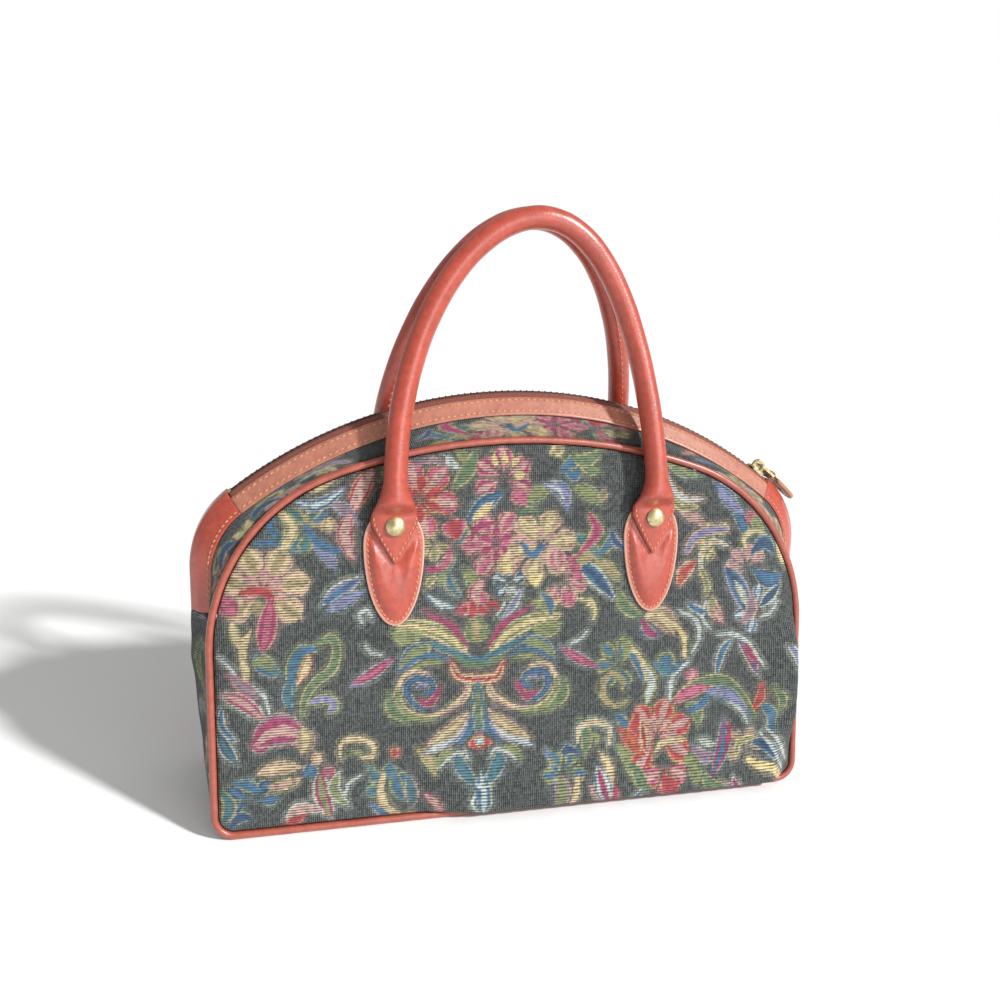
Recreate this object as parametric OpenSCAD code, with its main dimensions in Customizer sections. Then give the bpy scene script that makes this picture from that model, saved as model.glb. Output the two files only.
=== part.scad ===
// Dome-topped tapestry handbag with leather piping, a zip over the crown and two rolled handles.
// The bag stands on its base at z = 0. The front faces -Y, +X is to the right and +Z is up.

/* [Panels] */
// Width of a panel, seam to seam
panel_w = 380; // [350:1:420]
// Height of a panel along its own slope, from the floor to the top seam
panel_h = 235; // [220:1:260]
// Radius of the flat crown of a panel
crown_r = 365; // [330:1:420]
// Radius of the shoulders of a panel
shoulder_r = 110; // [95:1:120]
// Radius of the bottom corners of a panel
corner_r = 12; // [8:1:20]
// Depth of the bag at its base, seam to seam
base_depth = 110; // [98:1:130]
// Lean of each panel towards the other, in degrees
lean = 8.2; // [6:0.2:9]
// How far the middle of a panel stands proud of its seam
belly = 4; // [2:0.5:7]
// Thickness of a cloth wall with its interlining and lining
wall = 2; // [1.4:0.1:2.8]

/* [Piping] */
// Diameter of the leather piping round each panel
piping_d = 4.5; // [3.5:0.1:6]

/* [Gusset] */
// Height of the zip above the top seams
ridge_rise = 26.5; // [20:0.5:32]
// How far the zip ends stand outside the shoulder seams
zip_end_rise = 20; // [16:1:24]
// Direction of the zip ends from the shoulder centres, in degrees from upright
zip_end_angle = 48; // [42:1:52]
// How far the zip end patches stand outside the side seams
side_rise = 9; // [6:1:12]
// How much further the lower side gussets bulge
side_puff = 2; // [1:0.5:5]
// Height at which the zip gusset is sewn to the side gussets
split_z = 128; // [118:1:140]
// Thickness of the stiffening board on the base
board_t = 2.5; // [1.5:0.5:4]

/* [Zip] */
// Pitch of the teeth on one row
tooth_pitch = 4; // [3.2:0.2:6]
// Width of one tooth along the zip
tooth_w = 1.3; // [1:0.1:1.4]
// Height of the teeth through the tape
tooth_t = 2.2; // [1.8:0.1:2.6]
// Distance from the middle of the zip to the back of a row of teeth
tooth_reach = 2.7; // [2.3:0.1:3]
// Thickness of the zip tape
tape_t = 0.6; // [0.4:0.1:0.8]
// Distance from the middle of the zip to the outer edge of the tape
tape_reach = 11.4; // [10.8:0.1:12]
// Thickness of the leather trim beside the zip
trim_t = 1.4; // [1:0.1:1.8]
// Distance from the middle of the zip to the inner edge of the trim
trim_in = 8.6; // [8.2:0.1:9.2]
// Distance from the middle of the zip to the outer edge of the trim
trim_out = 21.6; // [19:0.2:24]
// Slope of the tape and the trim's inner part beside the slider, in degrees
tape_slope = 40; // [30:1:45]
// Slope of the trim's outer part, in degrees
trim_slope = 53; // [46:1:60]

/* [Slider] */
// Length of the slider along the zip
slider_l = 12; // [10:0.5:14]
// Width of the slider across the zip
slider_w = 9.2; // [8.4:0.1:10]
// Thickness of the slider plates
slider_t = 1.2; // [0.9:0.1:1.6]
// Length of the link between slider and pull
link_l = 12; // [10:0.5:15]
// Width of the link
link_w = 14; // [13:0.5:16]
// Thickness of the link
link_t = 1.6; // [1.2:0.1:1.8]
// Length of the leather pull
pull_l = 25; // [20:1:32]
// Width of the leather pull
pull_w = 16; // [13:0.5:20]
// Thickness of one layer of the leather pull
pull_t = 1.4; // [1:0.1:1.8]
// Length of the slot punched along the pull
slot_l = 9; // [6:0.5:11]
// Width of that slot
slot_w = 3.6; // [2:0.2:5]
// Droop of the link below the line of the zip, in degrees
link_droop = 3; // [0:1:4]
// Further droop of the leather pull, in degrees
pull_droop = 4; // [0:1:5]

/* [Handles] */
// Diameter of a rolled handle
handle_d = 14; // [12:0.5:16]
// Height of a handle above its necks, along the panel
handle_rise = 167; // [130:1:210]
// Distance between the two rivets of one handle
rivet_span = 164; // [140:1:190]
// Height of the rivets along the panel
rivet_s = 186; // [175:1:194]
// Height of the neck, where a handle bends, above its rivets
neck_up = 15; // [14:0.5:18]
// Free space between the two handles at the top
handle_gap = 2; // [1:0.5:30]
// How far the legs of a handle lean in over the crown
handle_tuck = 7; // [0:0.5:10]
// How far the top of the handles sways to the right
handle_sway = 9; // [0:1:14]

/* [Handle tabs] */
// Width of a leaf-shaped tab
tab_w = 36.5; // [33:0.5:40]
// Reach of a tab above its rivet
tab_up = 11; // [9:0.5:12]
// Reach of a tab below its rivet
tab_down = 61; // [45:1:70]
// Thickness of a tab
tab_t = 2.4; // [1.6:0.1:3]
// Width of the flattened foot of a handle
foot_w = 29; // [24:0.5:31]
// Reach of the pointed foot below its rivet
foot_down = 23; // [18:0.5:28]
// Thickness of a foot under its rivet
foot_t = 4.4; // [3.6:0.1:5]
// Diameter of a rivet cap
rivet_d = 11.4; // [9:0.1:12.4]
// Height of the dome of a rivet cap
rivet_dome = 2.4; // [1.6:0.1:3]
// Diameter of a rivet shank
shank_d = 4; // [3:0.1:5]

/* [Hidden] */

$fn = 48;
tapestry = "#3f4644";
leather = "#a64a38";
pull_leather = "#a8764e";
zip_brown = "#4a2c24";
brass = "#b79a5b";
board_brown = "#8a7355";

// Clearances: cloth to cloth at a seam, one leather piece on another, a piece that slides on a fixed one
seam_gap = 0.3;
lay_gap = 0.12;
run_gap = 0.4;
// Number of steps along a long curve and across a strip
long_steps = 48;
cross_steps = 4;

// Panel outline, in the plane of its seam: x across and s up the panel
half_w = panel_w / 2;
piping_r = piping_d / 2;
seam_bottom = piping_r / cos(lean);
shoulder_x = half_w - shoulder_r;
crown_s = panel_h - crown_r;
shoulder_s = crown_s + sqrt(pow(crown_r - shoulder_r, 2) - shoulder_x * shoulder_x);
crown_angle = atan2(shoulder_x, shoulder_s - crown_s);
panel_mid_s = panel_h * 0.45;
panel_inset = piping_r + seam_gap;

// Zip line in the plane y = 0: one arc over the crown, an end arc at each side, then straight down
zip_end_x = shoulder_x + (shoulder_r + zip_end_rise) * sin(zip_end_angle);
zip_end_z = shoulder_s + (shoulder_r + zip_end_rise) * cos(zip_end_angle);
ridge_z = panel_h * cos(lean) + ridge_rise;
zip_fall = ridge_z - zip_end_z;
zip_r = (zip_end_x * zip_end_x + zip_fall * zip_fall) / (2 * zip_fall);
zip_axis_z = ridge_z - zip_r;
zip_angle = asin(zip_end_x / zip_r);
side_x = half_w + side_rise;
end_r = (side_x - zip_end_x) / (1 - sin(zip_angle));
end_x = zip_end_x - end_r * sin(zip_angle);
end_z = zip_end_z - end_r * cos(zip_angle);

// Section across the zip: level under the slider, then falling with the tape, and steeper past the knee
fold_in = slider_w / 2 + run_gap;
trim_flat = tape_t / 2 + lay_gap + trim_t / 2;
trim_knee = tape_reach + lay_gap;
knee_turn = trim_slope - tape_slope;
// A place [out, across] at a run from the zip's middle and a height off the tape's middle layer, with
// the layers mitred where the section folds
function on_tape(run, n) = [n * cos(tape_slope) - (run - fold_in) * sin(tape_slope),
    fold_in + (run - fold_in) * cos(tape_slope) + n * sin(tape_slope)];
function at_fold(n) = [n, fold_in + n * tan(tape_slope / 2)];
function at_knee(n) = on_tape(trim_knee + n * tan(knee_turn / 2), n);
function past_knee(run, n) = on_tape(trim_knee, 0) + [n * cos(trim_slope) - run * sin(trim_slope),
    run * cos(trim_slope) + n * sin(trim_slope)];
edge_gap = run_gap + wall * 0.3;
strip_edge = past_knee(trim_out - trim_knee + edge_gap, trim_flat);

// Teeth, stops and slider along the zip, as angles about the zip's axis
stop_l = 2;
tooth_angle = zip_angle - to_angle(stop_l + seam_gap, zip_r);
slider_angle = tooth_angle - to_angle(slider_l / 2 + seam_gap, zip_r);
channel = tooth_t / 2 + run_gap;
bail_clear = link_t * 3;
bail_h = bail_clear + link_t;
pull_axis_r = zip_r + channel + slider_t + bail_clear - link_t;

// Stack on a panel at a handle, measured out from the seam plane
panel_top = wall / 2 + belly;
tab_n = panel_top + lay_gap;
foot_n = tab_n + tab_t + lay_gap;
handle_r = handle_d / 2;
neck_s = rivet_s + neck_up;
neck_n = foot_n + handle_r + lay_gap;
foot_top = neck_up - handle_r * 0.66;
foot_shoulder = foot_top / 3;
handle_x = rivet_span / 2;
apex_s = neck_s + handle_rise;
apex_n = -(base_depth / 2 - (handle_d + handle_gap) / 2 - apex_s * sin(lean)) / cos(lean);

// Size and place helpers
function to_angle(length, r) = length / r * 180 / PI;
function arc_length(r, angle) = r * angle * PI / 180;
function unit(v) = v / norm(v);
function mix(a, b, t) = a + (b - a) * t;
// Points of an arc, by angle from upright, clockwise
function arc(x, y, r, from, to, n) =
    [for (i = [0:n]) let (a = from + (to - from) * i / n) [x + r * sin(a), y + r * cos(a)]];
// A point (x across, s up, n out) of the front panel's plane, in the bag's frame
function front_point(p) = [p[0],
    -base_depth / 2 + p[1] * sin(lean) - p[2] * cos(lean),
    p[1] * cos(lean) + p[2] * sin(lean)];

module on_front() translate([0, -base_depth / 2, 0]) rotate([90 - lean, 0, 0]) children();
module on_back() mirror([0, 1, 0]) on_front() children();
// Turned so that a profile's x runs outward from the zip's axis and its y runs to the front
module on_zip_axis() translate([0, 0, zip_axis_z]) rotate([90, 0, 0]) children();
module zip_sweep(half_angle) on_zip_axis() rotate([0, 0, 90 - half_angle])
    rotate_extrude(angle = 2 * half_angle, $fn = 180) children();

// A closed wall between two matching grids of points, the first of them on the outside
module shell(outer, inner) {
    m = len(outer);
    n = len(outer[0]);
    under = m * n;
    function at(i, j) = i * n + j;
    points = [for (grid = [outer, inner]) for (row = grid) for (p = row) p];
    faces = concat(
        [for (i = [0:m - 2]) for (j = [0:n - 2]) each [
            [at(i, j), at(i + 1, j), at(i + 1, j + 1)], [at(i, j), at(i + 1, j + 1), at(i, j + 1)],
            [under + at(i, j), under + at(i + 1, j + 1), under + at(i + 1, j)],
            [under + at(i, j), under + at(i, j + 1), under + at(i + 1, j + 1)]]],
        [for (i = [0:m - 2]) each [
            [at(i, 0), under + at(i, 0), under + at(i + 1, 0)],
            [at(i, 0), under + at(i + 1, 0), at(i + 1, 0)],
            [at(i, n - 1), under + at(i + 1, n - 1), under + at(i, n - 1)],
            [at(i, n - 1), at(i + 1, n - 1), under + at(i + 1, n - 1)]]],
        [for (j = [0:n - 2]) each [
            [at(0, j), under + at(0, j + 1), under + at(0, j)],
            [at(0, j), at(0, j + 1), under + at(0, j + 1)],
            [at(m - 1, j), under + at(m - 1, j), under + at(m - 1, j + 1)],
            [at(m - 1, j), under + at(m - 1, j + 1), at(m - 1, j + 1)]]]);
    polyhedron(points, faces);
}

// A closed solid through rings of equal count, with flat ends
module loft(rings) {
    m = len(rings);
    n = len(rings[0]);
    points = [for (ring = rings) for (p = ring) p];
    faces = concat(
        [for (i = [0:m - 2]) for (j = [0:n - 1]) let (k = (j + 1) % n) each [
            [i * n + j, (i + 1) * n + j, (i + 1) * n + k], [i * n + j, (i + 1) * n + k, i * n + k]]],
        [for (j = [1:n - 2]) each [
            [0, j, j + 1], [(m - 1) * n, (m - 1) * n + j + 1, (m - 1) * n + j]]]);
    polyhedron(points, faces);
}

// Right half of the panel outline, from the top seam's middle to the bottom seam's middle
function half_outline(inset, fine) = concat(
    arc(0, crown_s, crown_r - inset, 0, crown_angle, 6 * fine),
    arc(shoulder_x, shoulder_s, shoulder_r - inset, crown_angle + 8 / fine, 90, 8 * fine),
    [for (i = [1:3]) [half_w - inset, mix(shoulder_s, seam_bottom + corner_r, i / 4)]],
    arc(half_w - corner_r, seam_bottom + corner_r, corner_r - inset, 90, 180, 4),
    [for (i = [1:6]) [mix(half_w - corner_r, 0, i / 6), seam_bottom + inset]]);
function outline(inset, fine) = let (half = half_outline(inset, fine), n = len(half))
    concat(half, [for (i = [n - 2:-1:1]) [-half[i][0], half[i][1]]]);
// A crowned cloth panel: rings of the outline drawn in towards the middle, flat across the middle
// and rounded near the seam
ring_scale = [1, 0.965, 0.9, 0.8, 0.6, 0.3];
function crown_height(t) = belly * (1 - pow(t, 6));
function panel_ring(t, n) = [for (p = outline(panel_inset, 1))
    [p[0] * t, mix(panel_mid_s, p[1], t), crown_height(t) + n]];

module panel() {
    front = [for (t = ring_scale) panel_ring(t, wall / 2)];
    back = [for (i = [len(ring_scale) - 1:-1:0]) panel_ring(ring_scale[i], -wall / 2)];
    count = len(front[0]);
    rings = concat(front, back, [front[0]]);
    points = concat([for (ring = concat(front, back)) for (p = ring) p],
        [[0, panel_mid_s, belly + wall / 2], [0, panel_mid_s, belly - wall / 2]]);
    m = len(ring_scale);
    top = 2 * m * count;
    function at(i, j) = (i % (2 * m)) * count + j % count;
    faces = concat(
        [for (i = [0:2 * m - 1]) if (i != m - 1) for (j = [0:count - 1]) each [
            [at(i, j), at(i + 1, j + 1), at(i + 1, j)], [at(i, j), at(i, j + 1), at(i + 1, j + 1)]]],
        [for (j = [0:count - 1]) each [
            [at(m - 1, j), at(m - 1, j + 1), top], [at(m, j + 1), at(m, j), top + 1]]]);
    difference() {
        polyhedron(points, faces);
        for (side = [-1, 1])
            translate([side * handle_x, rivet_s, 0])
                cylinder(d = shank_d + 2 * lay_gap, h = 2 * (panel_top + wall), center = true, $fn = 16);
    }
}
module front_panel() color(tapestry) on_front() panel();
module back_panel() color(tapestry) on_back() panel();

// Piping: a round cord along the whole outline of a panel, closed on itself
piping_sides = 8;
function piping_ring(path, i) = let (
        n = len(path),
        way = unit(path[(i + 1) % n] - path[(i + n - 1) % n]))
    [for (j = [0:piping_sides - 1]) let (b = 360 * j / piping_sides)
        [path[i][0] - way[1] * piping_r * cos(b), path[i][1] + way[0] * piping_r * cos(b),
            piping_r * sin(b)]];
module piping() {
    path = outline(0, 2);
    n = len(path);
    k = piping_sides;
    polyhedron([for (i = [0:n - 1]) each piping_ring(path, i)],
        [for (i = [0:n - 1]) for (j = [0:k - 1]) let (
            a = i * k + j,
            b = i * k + (j + 1) % k,
            c = ((i + 1) % n) * k + j,
            d = ((i + 1) % n) * k + (j + 1) % k) each [[a, d, c], [a, b, d]]]);
}
module front_piping() color(leather) on_front() piping();
module back_piping() color(leather) on_back() piping();

// The top seam and the zip line, by share t of their length: 0 at the middle, 1 where the side
// gusset begins
split_s = split_z / cos(lean);
crown_l = arc_length(crown_r, crown_angle);
shoulder_l = arc_length(shoulder_r, 90 - crown_angle);
shoulder_part = split_s > shoulder_s ? asin((split_s - shoulder_s) / shoulder_r) : 0;
seam_l = crown_l + shoulder_l - arc_length(shoulder_r, shoulder_part) + max(0, shoulder_s - split_s);
zip_l = arc_length(zip_r, zip_angle);
end_l = arc_length(end_r, 90 - zip_angle);
ridge_l = zip_l + end_l + end_z - split_z;
function seam_turn(d) = d < crown_l ? to_angle(d, crown_r)
    : min(90, crown_angle + to_angle(d - crown_l, shoulder_r));
function seam_at(d) = let (a = seam_turn(d))
    d < crown_l ? [crown_r * sin(a), crown_s + crown_r * cos(a)]
    : [shoulder_x + shoulder_r * sin(a),
        shoulder_s + shoulder_r * cos(a) - max(0, d - crown_l - shoulder_l)];
function ridge_at(d, out) =
    d < zip_l ? let (a = to_angle(d, zip_r)) [(zip_r + out) * sin(a), zip_axis_z + (zip_r + out) * cos(a)]
    : let (a = min(90, zip_angle + to_angle(d - zip_l, end_r)))
        [end_x + (end_r + out) * sin(a), end_z + (end_r + out) * cos(a) - max(0, d - zip_l - end_l)];

// Tapestry strip from the front seam up to the trim, at share t along and v across
strip_puff = 1.5;
function strip_row(t, n) = let (
        way = t < 0 ? -1 : 1,
        low = seam_at(abs(t) * seam_l),
        turn = seam_turn(abs(t) * seam_l),
        high = ridge_at(abs(t) * ridge_l, strip_edge[0]),
        a = front_point([way * low[0], low[1], -panel_inset - wall / 2]),
        b = [way * high[0], -strip_edge[1], high[1]],
        along = unit(b - a),
        out = [way * sin(turn), -1, cos(turn)],
        face = unit(out - along * (out * along)))
    [for (j = [0:cross_steps]) let (v = j / cross_steps)
        mix(a, b, v) + face * (n + strip_puff * 4 * v * (1 - v))];
strip_end = 1 - seam_gap / seam_l;
module zip_gusset() shell(
    [for (i = [0:long_steps]) strip_row(mix(-strip_end, strip_end, i / long_steps), wall / 2)],
    [for (i = [0:long_steps]) strip_row(mix(-strip_end, strip_end, i / long_steps), -wall / 2)]);
module front_zip_gusset() color(tapestry) zip_gusset();
module back_zip_gusset() color(tapestry) mirror([0, 1, 0]) zip_gusset();

// Side gusset from the zip gusset's end down and round the bottom corner: a ridge under the zip that
// widens to a plain bulge between the seams
gusset_foot = wall / 2;
function side_outline() = concat(
    [for (i = [0:6]) let (s = mix(split_z - seam_gap, gusset_foot + corner_r, i / 7))
        [s > shoulder_s ? shoulder_x + shoulder_r * cos(asin((s - shoulder_s) / shoulder_r)) : half_w,
            s, 90]],
    [for (i = [0:4]) let (a = 90 + i * 22.5)
        [half_w - corner_r + corner_r * sin(a), gusset_foot + corner_r + corner_r * cos(a), a]]);
function side_row(p, n) = let (
        top = split_z - gusset_foot - corner_r,
        rise = (p[1] - gusset_foot - corner_r) / top,
        puff = (side_rise + side_puff) * (rise < 0 ? 0 : pow(rise, 0.3)),
        half = base_depth / 2 - (p[1] / cos(lean)) * sin(lean) - panel_inset * cos(lean))
    [for (j = [0:2 * cross_steps]) let (
            v = j / cross_steps - 1,
            ridge = mix(1 - v * v, exp(-pow(v / 0.38, 2)), max(0, rise)))
        [p[0] + (puff * ridge + n) * sin(p[2]), half * v, p[1] + n * cos(p[2])]];
module side_gusset() shell([for (p = side_outline()) side_row(p, wall / 2)],
    [for (p = side_outline()) side_row(p, -wall / 2)]);
module right_gusset() color(tapestry) side_gusset();
module left_gusset() color(tapestry) mirror([1, 0, 0]) side_gusset();

// Flat base between the seams, and the board that lies on it inside
base_half_x = half_w - corner_r - seam_gap;
base_half_y = base_depth / 2 - seam_bottom * sin(lean) - piping_r - seam_gap;
board_inset = 3;
module base_panel() color(tapestry)
    translate([-base_half_x, -base_half_y, 0]) cube([2 * base_half_x, 2 * base_half_y, wall]);
module base_board() color(board_brown)
    translate([board_inset - base_half_x, board_inset - base_half_y, wall])
        cube([2 * (base_half_x - board_inset), 2 * (base_half_y - board_inset), board_t]);

// Leather trim beside the zip: its section, from the inner edge to the outer one
function from_axis(p) = [zip_r + p[0], p[1]];
function trim_section(n) = [on_tape(trim_in, trim_flat + n), at_knee(trim_flat + n),
    past_knee(trim_out - trim_knee, trim_flat + n)];
module zip_trim() zip_sweep(zip_angle) polygon([
    for (p = trim_section(trim_t / 2)) from_axis(p),
    for (i = [2:-1:0]) from_axis(trim_section(-trim_t / 2)[i])]);
module front_zip_trim() color(leather) zip_trim();
module back_zip_trim() color(leather) mirror([0, 1, 0]) zip_trim();

function tape_section(n) = [[n, tooth_reach + lay_gap], at_fold(n), on_tape(tape_reach, n)];
module zip_tape() zip_sweep(zip_angle) polygon([
    for (p = tape_section(tape_t / 2)) from_axis(p),
    for (i = [2:-1:0]) from_axis(tape_section(-tape_t / 2)[i])]);
module front_zip_tape() color(zip_brown) zip_tape();
module back_zip_tape() color(zip_brown) mirror([0, 1, 0]) zip_tape();

// One row of teeth: a spine on the tape's edge, with heads that pass between those of the other row
spine_in = 1.1;
head_end = 0.9;
head_t = tooth_t * 0.82;
tooth_step = to_angle(tooth_pitch, zip_r);
tooth_count = floor((2 * tooth_angle - tooth_step) / tooth_step);
module zip_teeth(phase) {
    zip_sweep(tooth_angle) translate([zip_r - tooth_t / 2, spine_in])
        square([tooth_t, tooth_reach - spine_in]);
    on_zip_axis() for (i = [0:tooth_count - 1])
        rotate([0, 0, 90 + (i - (tooth_count - 1) / 2 + phase) * tooth_step])
            translate([zip_r - head_t / 2, -tooth_w / 2, -head_end])
                cube([head_t, tooth_w, head_end + spine_in + lay_gap]);
}
module front_zip_teeth() color(zip_brown) zip_teeth(-0.25);
module back_zip_teeth() color(zip_brown) mirror([0, 1, 0]) zip_teeth(0.25);

// Stops past the last teeth: a bridge at the left end, a pair at the right end
module zip_stop(angle, from, to) on_zip_axis() rotate([0, 0, angle])
    translate([zip_r - tooth_t / 2, 0, from]) cube([tooth_t, stop_l, to - from]);
module zip_stops() color(brass) {
    zip_stop(90 + tooth_angle + to_angle(seam_gap / 2, zip_r), -tooth_reach, tooth_reach);
    for (side = [0, 1]) mirror([0, side, 0])
        zip_stop(90 - zip_angle + to_angle(seam_gap / 2, zip_r), seam_gap, tooth_reach);
}

// Leather patch over a zip end: the trim's section closed over the middle, round the end arc and down
patch_crown = 0.2;
function patch_half(n) = [[trim_flat + patch_crown + n, 0], at_fold(trim_flat + n), at_knee(trim_flat + n),
    past_knee(trim_out - trim_knee, trim_flat + n)];
module patch_section() {
    upper = patch_half(trim_t / 2);
    lower = patch_half(-trim_t / 2);
    polygon(concat([for (i = [3:-1:0]) [upper[i][0], -upper[i][1]]], [for (i = [1:3]) upper[i]],
        [for (i = [3:-1:0]) lower[i]], [for (i = [1:3]) [lower[i][0], -lower[i][1]]]));
}
module zip_patch() {
    start = to_angle(seam_gap, end_r);
    translate([end_x, 0, end_z]) rotate([90, 0, 0])
        rotate_extrude(angle = 90 - zip_angle - start, $fn = 120) translate([end_r, 0]) patch_section();
    translate([side_x, 0, split_z + seam_gap]) rotate([0, 0, -90]) rotate([0, 0, 90])
        linear_extrude(end_z - split_z - seam_gap) mirror([0, 1, 0]) patch_section();
}
module right_zip_patch() color(leather) zip_patch();
module left_zip_patch() color(leather) mirror([1, 0, 0]) zip_patch();

// Leaf-shaped tab: half an ellipse above its widest line, and half a longer one below it
tab_widest = -12;
tab_steps = 20;
function tab_edge(u) = [tab_w / 2 * sqrt(1 - u * u),
    tab_widest + u * (u > 0 ? tab_up - tab_widest : tab_down + tab_widest)];
tab_half = [for (i = [0:2 * tab_steps]) tab_edge(cos(180 * i / (2 * tab_steps)))];
module tab() translate([0, rivet_s, tab_n]) linear_extrude(tab_t) difference() {
    polygon(concat(tab_half, [for (i = [2 * tab_steps - 1:-1:1]) [-tab_half[i][0], tab_half[i][1]]]));
    circle(d = shank_d + 2 * lay_gap, $fn = 24);
}
// Flattened foot of a handle: domed sections that flare below the neck and close to a point
function foot_section(up, half, thick) = [for (j = [0:10]) let (b = j * 18)
    [half * cos(b), up, thick * pow(sin(b), 0.6)]];
function foot_rings() = concat(
    [for (i = [0:4]) let (q = i / 5, ease = q * q * (3 - 2 * q)) foot_section(
        mix(foot_top, foot_shoulder, q), mix(handle_r * 1.1, foot_w / 2, ease),
        mix(handle_r * 0.2, foot_t * 1.15, sqrt(q)))],
    [for (i = [0:6]) let (q = i / 6) foot_section(mix(foot_shoulder, -foot_down, q),
        mix(foot_w / 2, 0.8, pow(q, 1.25)), mix(foot_t * 1.15, tab_t * 0.8, q))]);
module foot() difference() {
    translate([0, rivet_s, foot_n]) loft(foot_rings());
    translate([0, rivet_s, foot_n])
        cylinder(d = shank_d + 2 * lay_gap, h = 3 * foot_t, center = true, $fn = 24);
    translate([0, neck_s, neck_n]) sphere(handle_r + run_gap, $fn = 32);
}
module at_left() translate([-handle_x, 0, 0]) children();
module at_right() translate([handle_x, 0, 0]) children();
module front_left_tab() color(leather) on_front() at_left() tab();
module front_right_tab() color(leather) on_front() at_right() tab();
module back_left_tab() color(leather) on_back() at_left() tab();
module back_right_tab() color(leather) on_back() at_right() tab();
module front_left_foot() color(leather) on_front() at_left() foot();
module front_right_foot() color(leather) on_front() at_right() foot();
module back_left_foot() color(leather) on_back() at_left() foot();
module back_right_foot() color(leather) on_back() at_right() foot();

// Rivet: a domed cap outside, a shank through foot, tab and panel, and a flat washer inside
cap_n = foot_n + foot_t * 1.15 + lay_gap;
cap_rim = 0.8;
washer_t = 1;
dome_r = (rivet_d * rivet_d / 4 + rivet_dome * rivet_dome) / (2 * rivet_dome);
// Share of the way from the panel's middle to its seam at a place, by the arc that a line to it meets
function arc_share(p, c, r) = (p * p) / (p * c + sqrt(pow(p * c, 2) - (p * p) * (c * c - r * r)));
function seam_share(x, s) = let (
        p = [x, s - panel_mid_s],
        crown = arc_share(p, [0, crown_s - panel_mid_s], crown_r - panel_inset),
        shoulder = arc_share(p, [shoulder_x, shoulder_s - panel_mid_s], shoulder_r - panel_inset))
    x / crown < (crown_r - panel_inset) * sin(crown_angle) ? crown : shoulder;
// The washer lies under the lowest part of the panel's inside that it covers
washer_r = rivet_d * 0.45;
washer_share = seam_share(handle_x + washer_r, rivet_s + washer_r);
washer_n = lookup(washer_share, [for (t = ring_scale) [t, crown_height(t)]]) - wall / 2 - 2 * lay_gap;
module rivet() translate([0, rivet_s, 0]) {
    translate([0, 0, washer_n - washer_t]) cylinder(r = washer_r, h = washer_t);
    translate([0, 0, washer_n - washer_t / 2])
        cylinder(d = shank_d, h = cap_n + cap_rim / 2 - washer_n + washer_t / 2);
    translate([0, 0, cap_n]) cylinder(d = rivet_d, h = cap_rim);
    intersection() {
        translate([0, 0, cap_n + cap_rim + rivet_dome - dome_r]) sphere(dome_r, $fn = 96);
        translate([0, 0, cap_n + cap_rim / 2]) cylinder(d = rivet_d, h = 2 * rivet_dome);
    }
}
module rivets() color(brass) for (side = [-1, 1]) {
    on_front() translate([side * handle_x, 0, 0]) rivet();
    on_back() translate([side * handle_x, 0, 0]) rivet();
}

// Rolled handle: a round tube on half an ellipse that bends in over the crown, with ball ends at
// its necks
handle_steps = 36;
handle_sides = 14;
ball_steps = 4;
function handle_point(a) = let (q = sin(a)) [-handle_x * cos(a) + handle_sway * pow(q, 2),
    neck_s + handle_rise * q,
    mix(neck_n, apex_n, pow(q, 1.7)) - handle_tuck * 5.4 * pow(q, 1.5) * (1 - q)];
function handle_ring(c, way, r) = let (
        side = unit(cross(way, [0, 0, 1])),
        up = cross(side, way))
    [for (j = [0:handle_sides - 1]) let (b = 360 * j / handle_sides)
        c + r * (side * cos(b) + up * sin(b))];
function ball_rings(c, way, sign) = [for (i = [0:ball_steps - 1]) let (
        b = sign > 0 ? 90 * (i + 1) / (ball_steps + 0.3) : 90 * (ball_steps - i) / (ball_steps + 0.3))
    handle_ring(c + way * sign * handle_r * sin(b), way, handle_r * cos(b))];
function handle_way(i) = unit(handle_point(180 * (i + 0.5) / handle_steps)
    - handle_point(180 * (i - 0.5) / handle_steps));
module handle() loft(concat(
    ball_rings(handle_point(0), [0, 1, 0], -1),
    [handle_ring(handle_point(0), [0, 1, 0], handle_r)],
    [for (i = [1:handle_steps - 1])
        handle_ring(handle_point(180 * i / handle_steps), handle_way(i), handle_r)],
    [handle_ring(handle_point(180), [0, -1, 0], handle_r)],
    ball_rings(handle_point(180), [0, -1, 0], 1)));
module front_handle() color(leather) on_front() handle();
module back_handle() color(leather) on_back() handle();

// Slider frame: x along the zip to the right, y to the back, z out of the zip, at the closed end
module at_slider() translate([0, 0, zip_axis_z]) rotate([0, slider_angle, 0])
    translate([0, 0, zip_r]) children();
// Plan of a slider plate: square at the tail, with shoulders that widen to the nose
nose_cut = slider_w * 0.2;
module slider_plan() polygon([
    [-slider_l / 2, nose_cut - slider_w / 2], [nose_cut - slider_l / 2, -slider_w / 2],
    [slider_l / 2 - nose_cut, -slider_w / 2], [slider_l / 2, nose_cut - slider_w / 2],
    [slider_l / 2, slider_w / 2 - nose_cut], [slider_l / 2 - nose_cut, slider_w / 2],
    [nose_cut - slider_l / 2, slider_w / 2], [-slider_l / 2, slider_w / 2 - nose_cut]]);
flange_t = slider_w / 2 - tooth_reach - run_gap;
flange_l = slider_l - 2 * nose_cut;
// Plate with the two flanges that guide the teeth and leave a slit for the tape
module slider_half() {
    translate([0, 0, channel]) linear_extrude(slider_t) slider_plan();
    for (side = [-1, 1])
        translate([-flange_l / 2, side * (slider_w - flange_t) / 2 - flange_t / 2, tape_t / 2 + run_gap])
            cube([flange_l, flange_t, channel + slider_t / 2 - tape_t / 2 - run_gap]);
}
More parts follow.
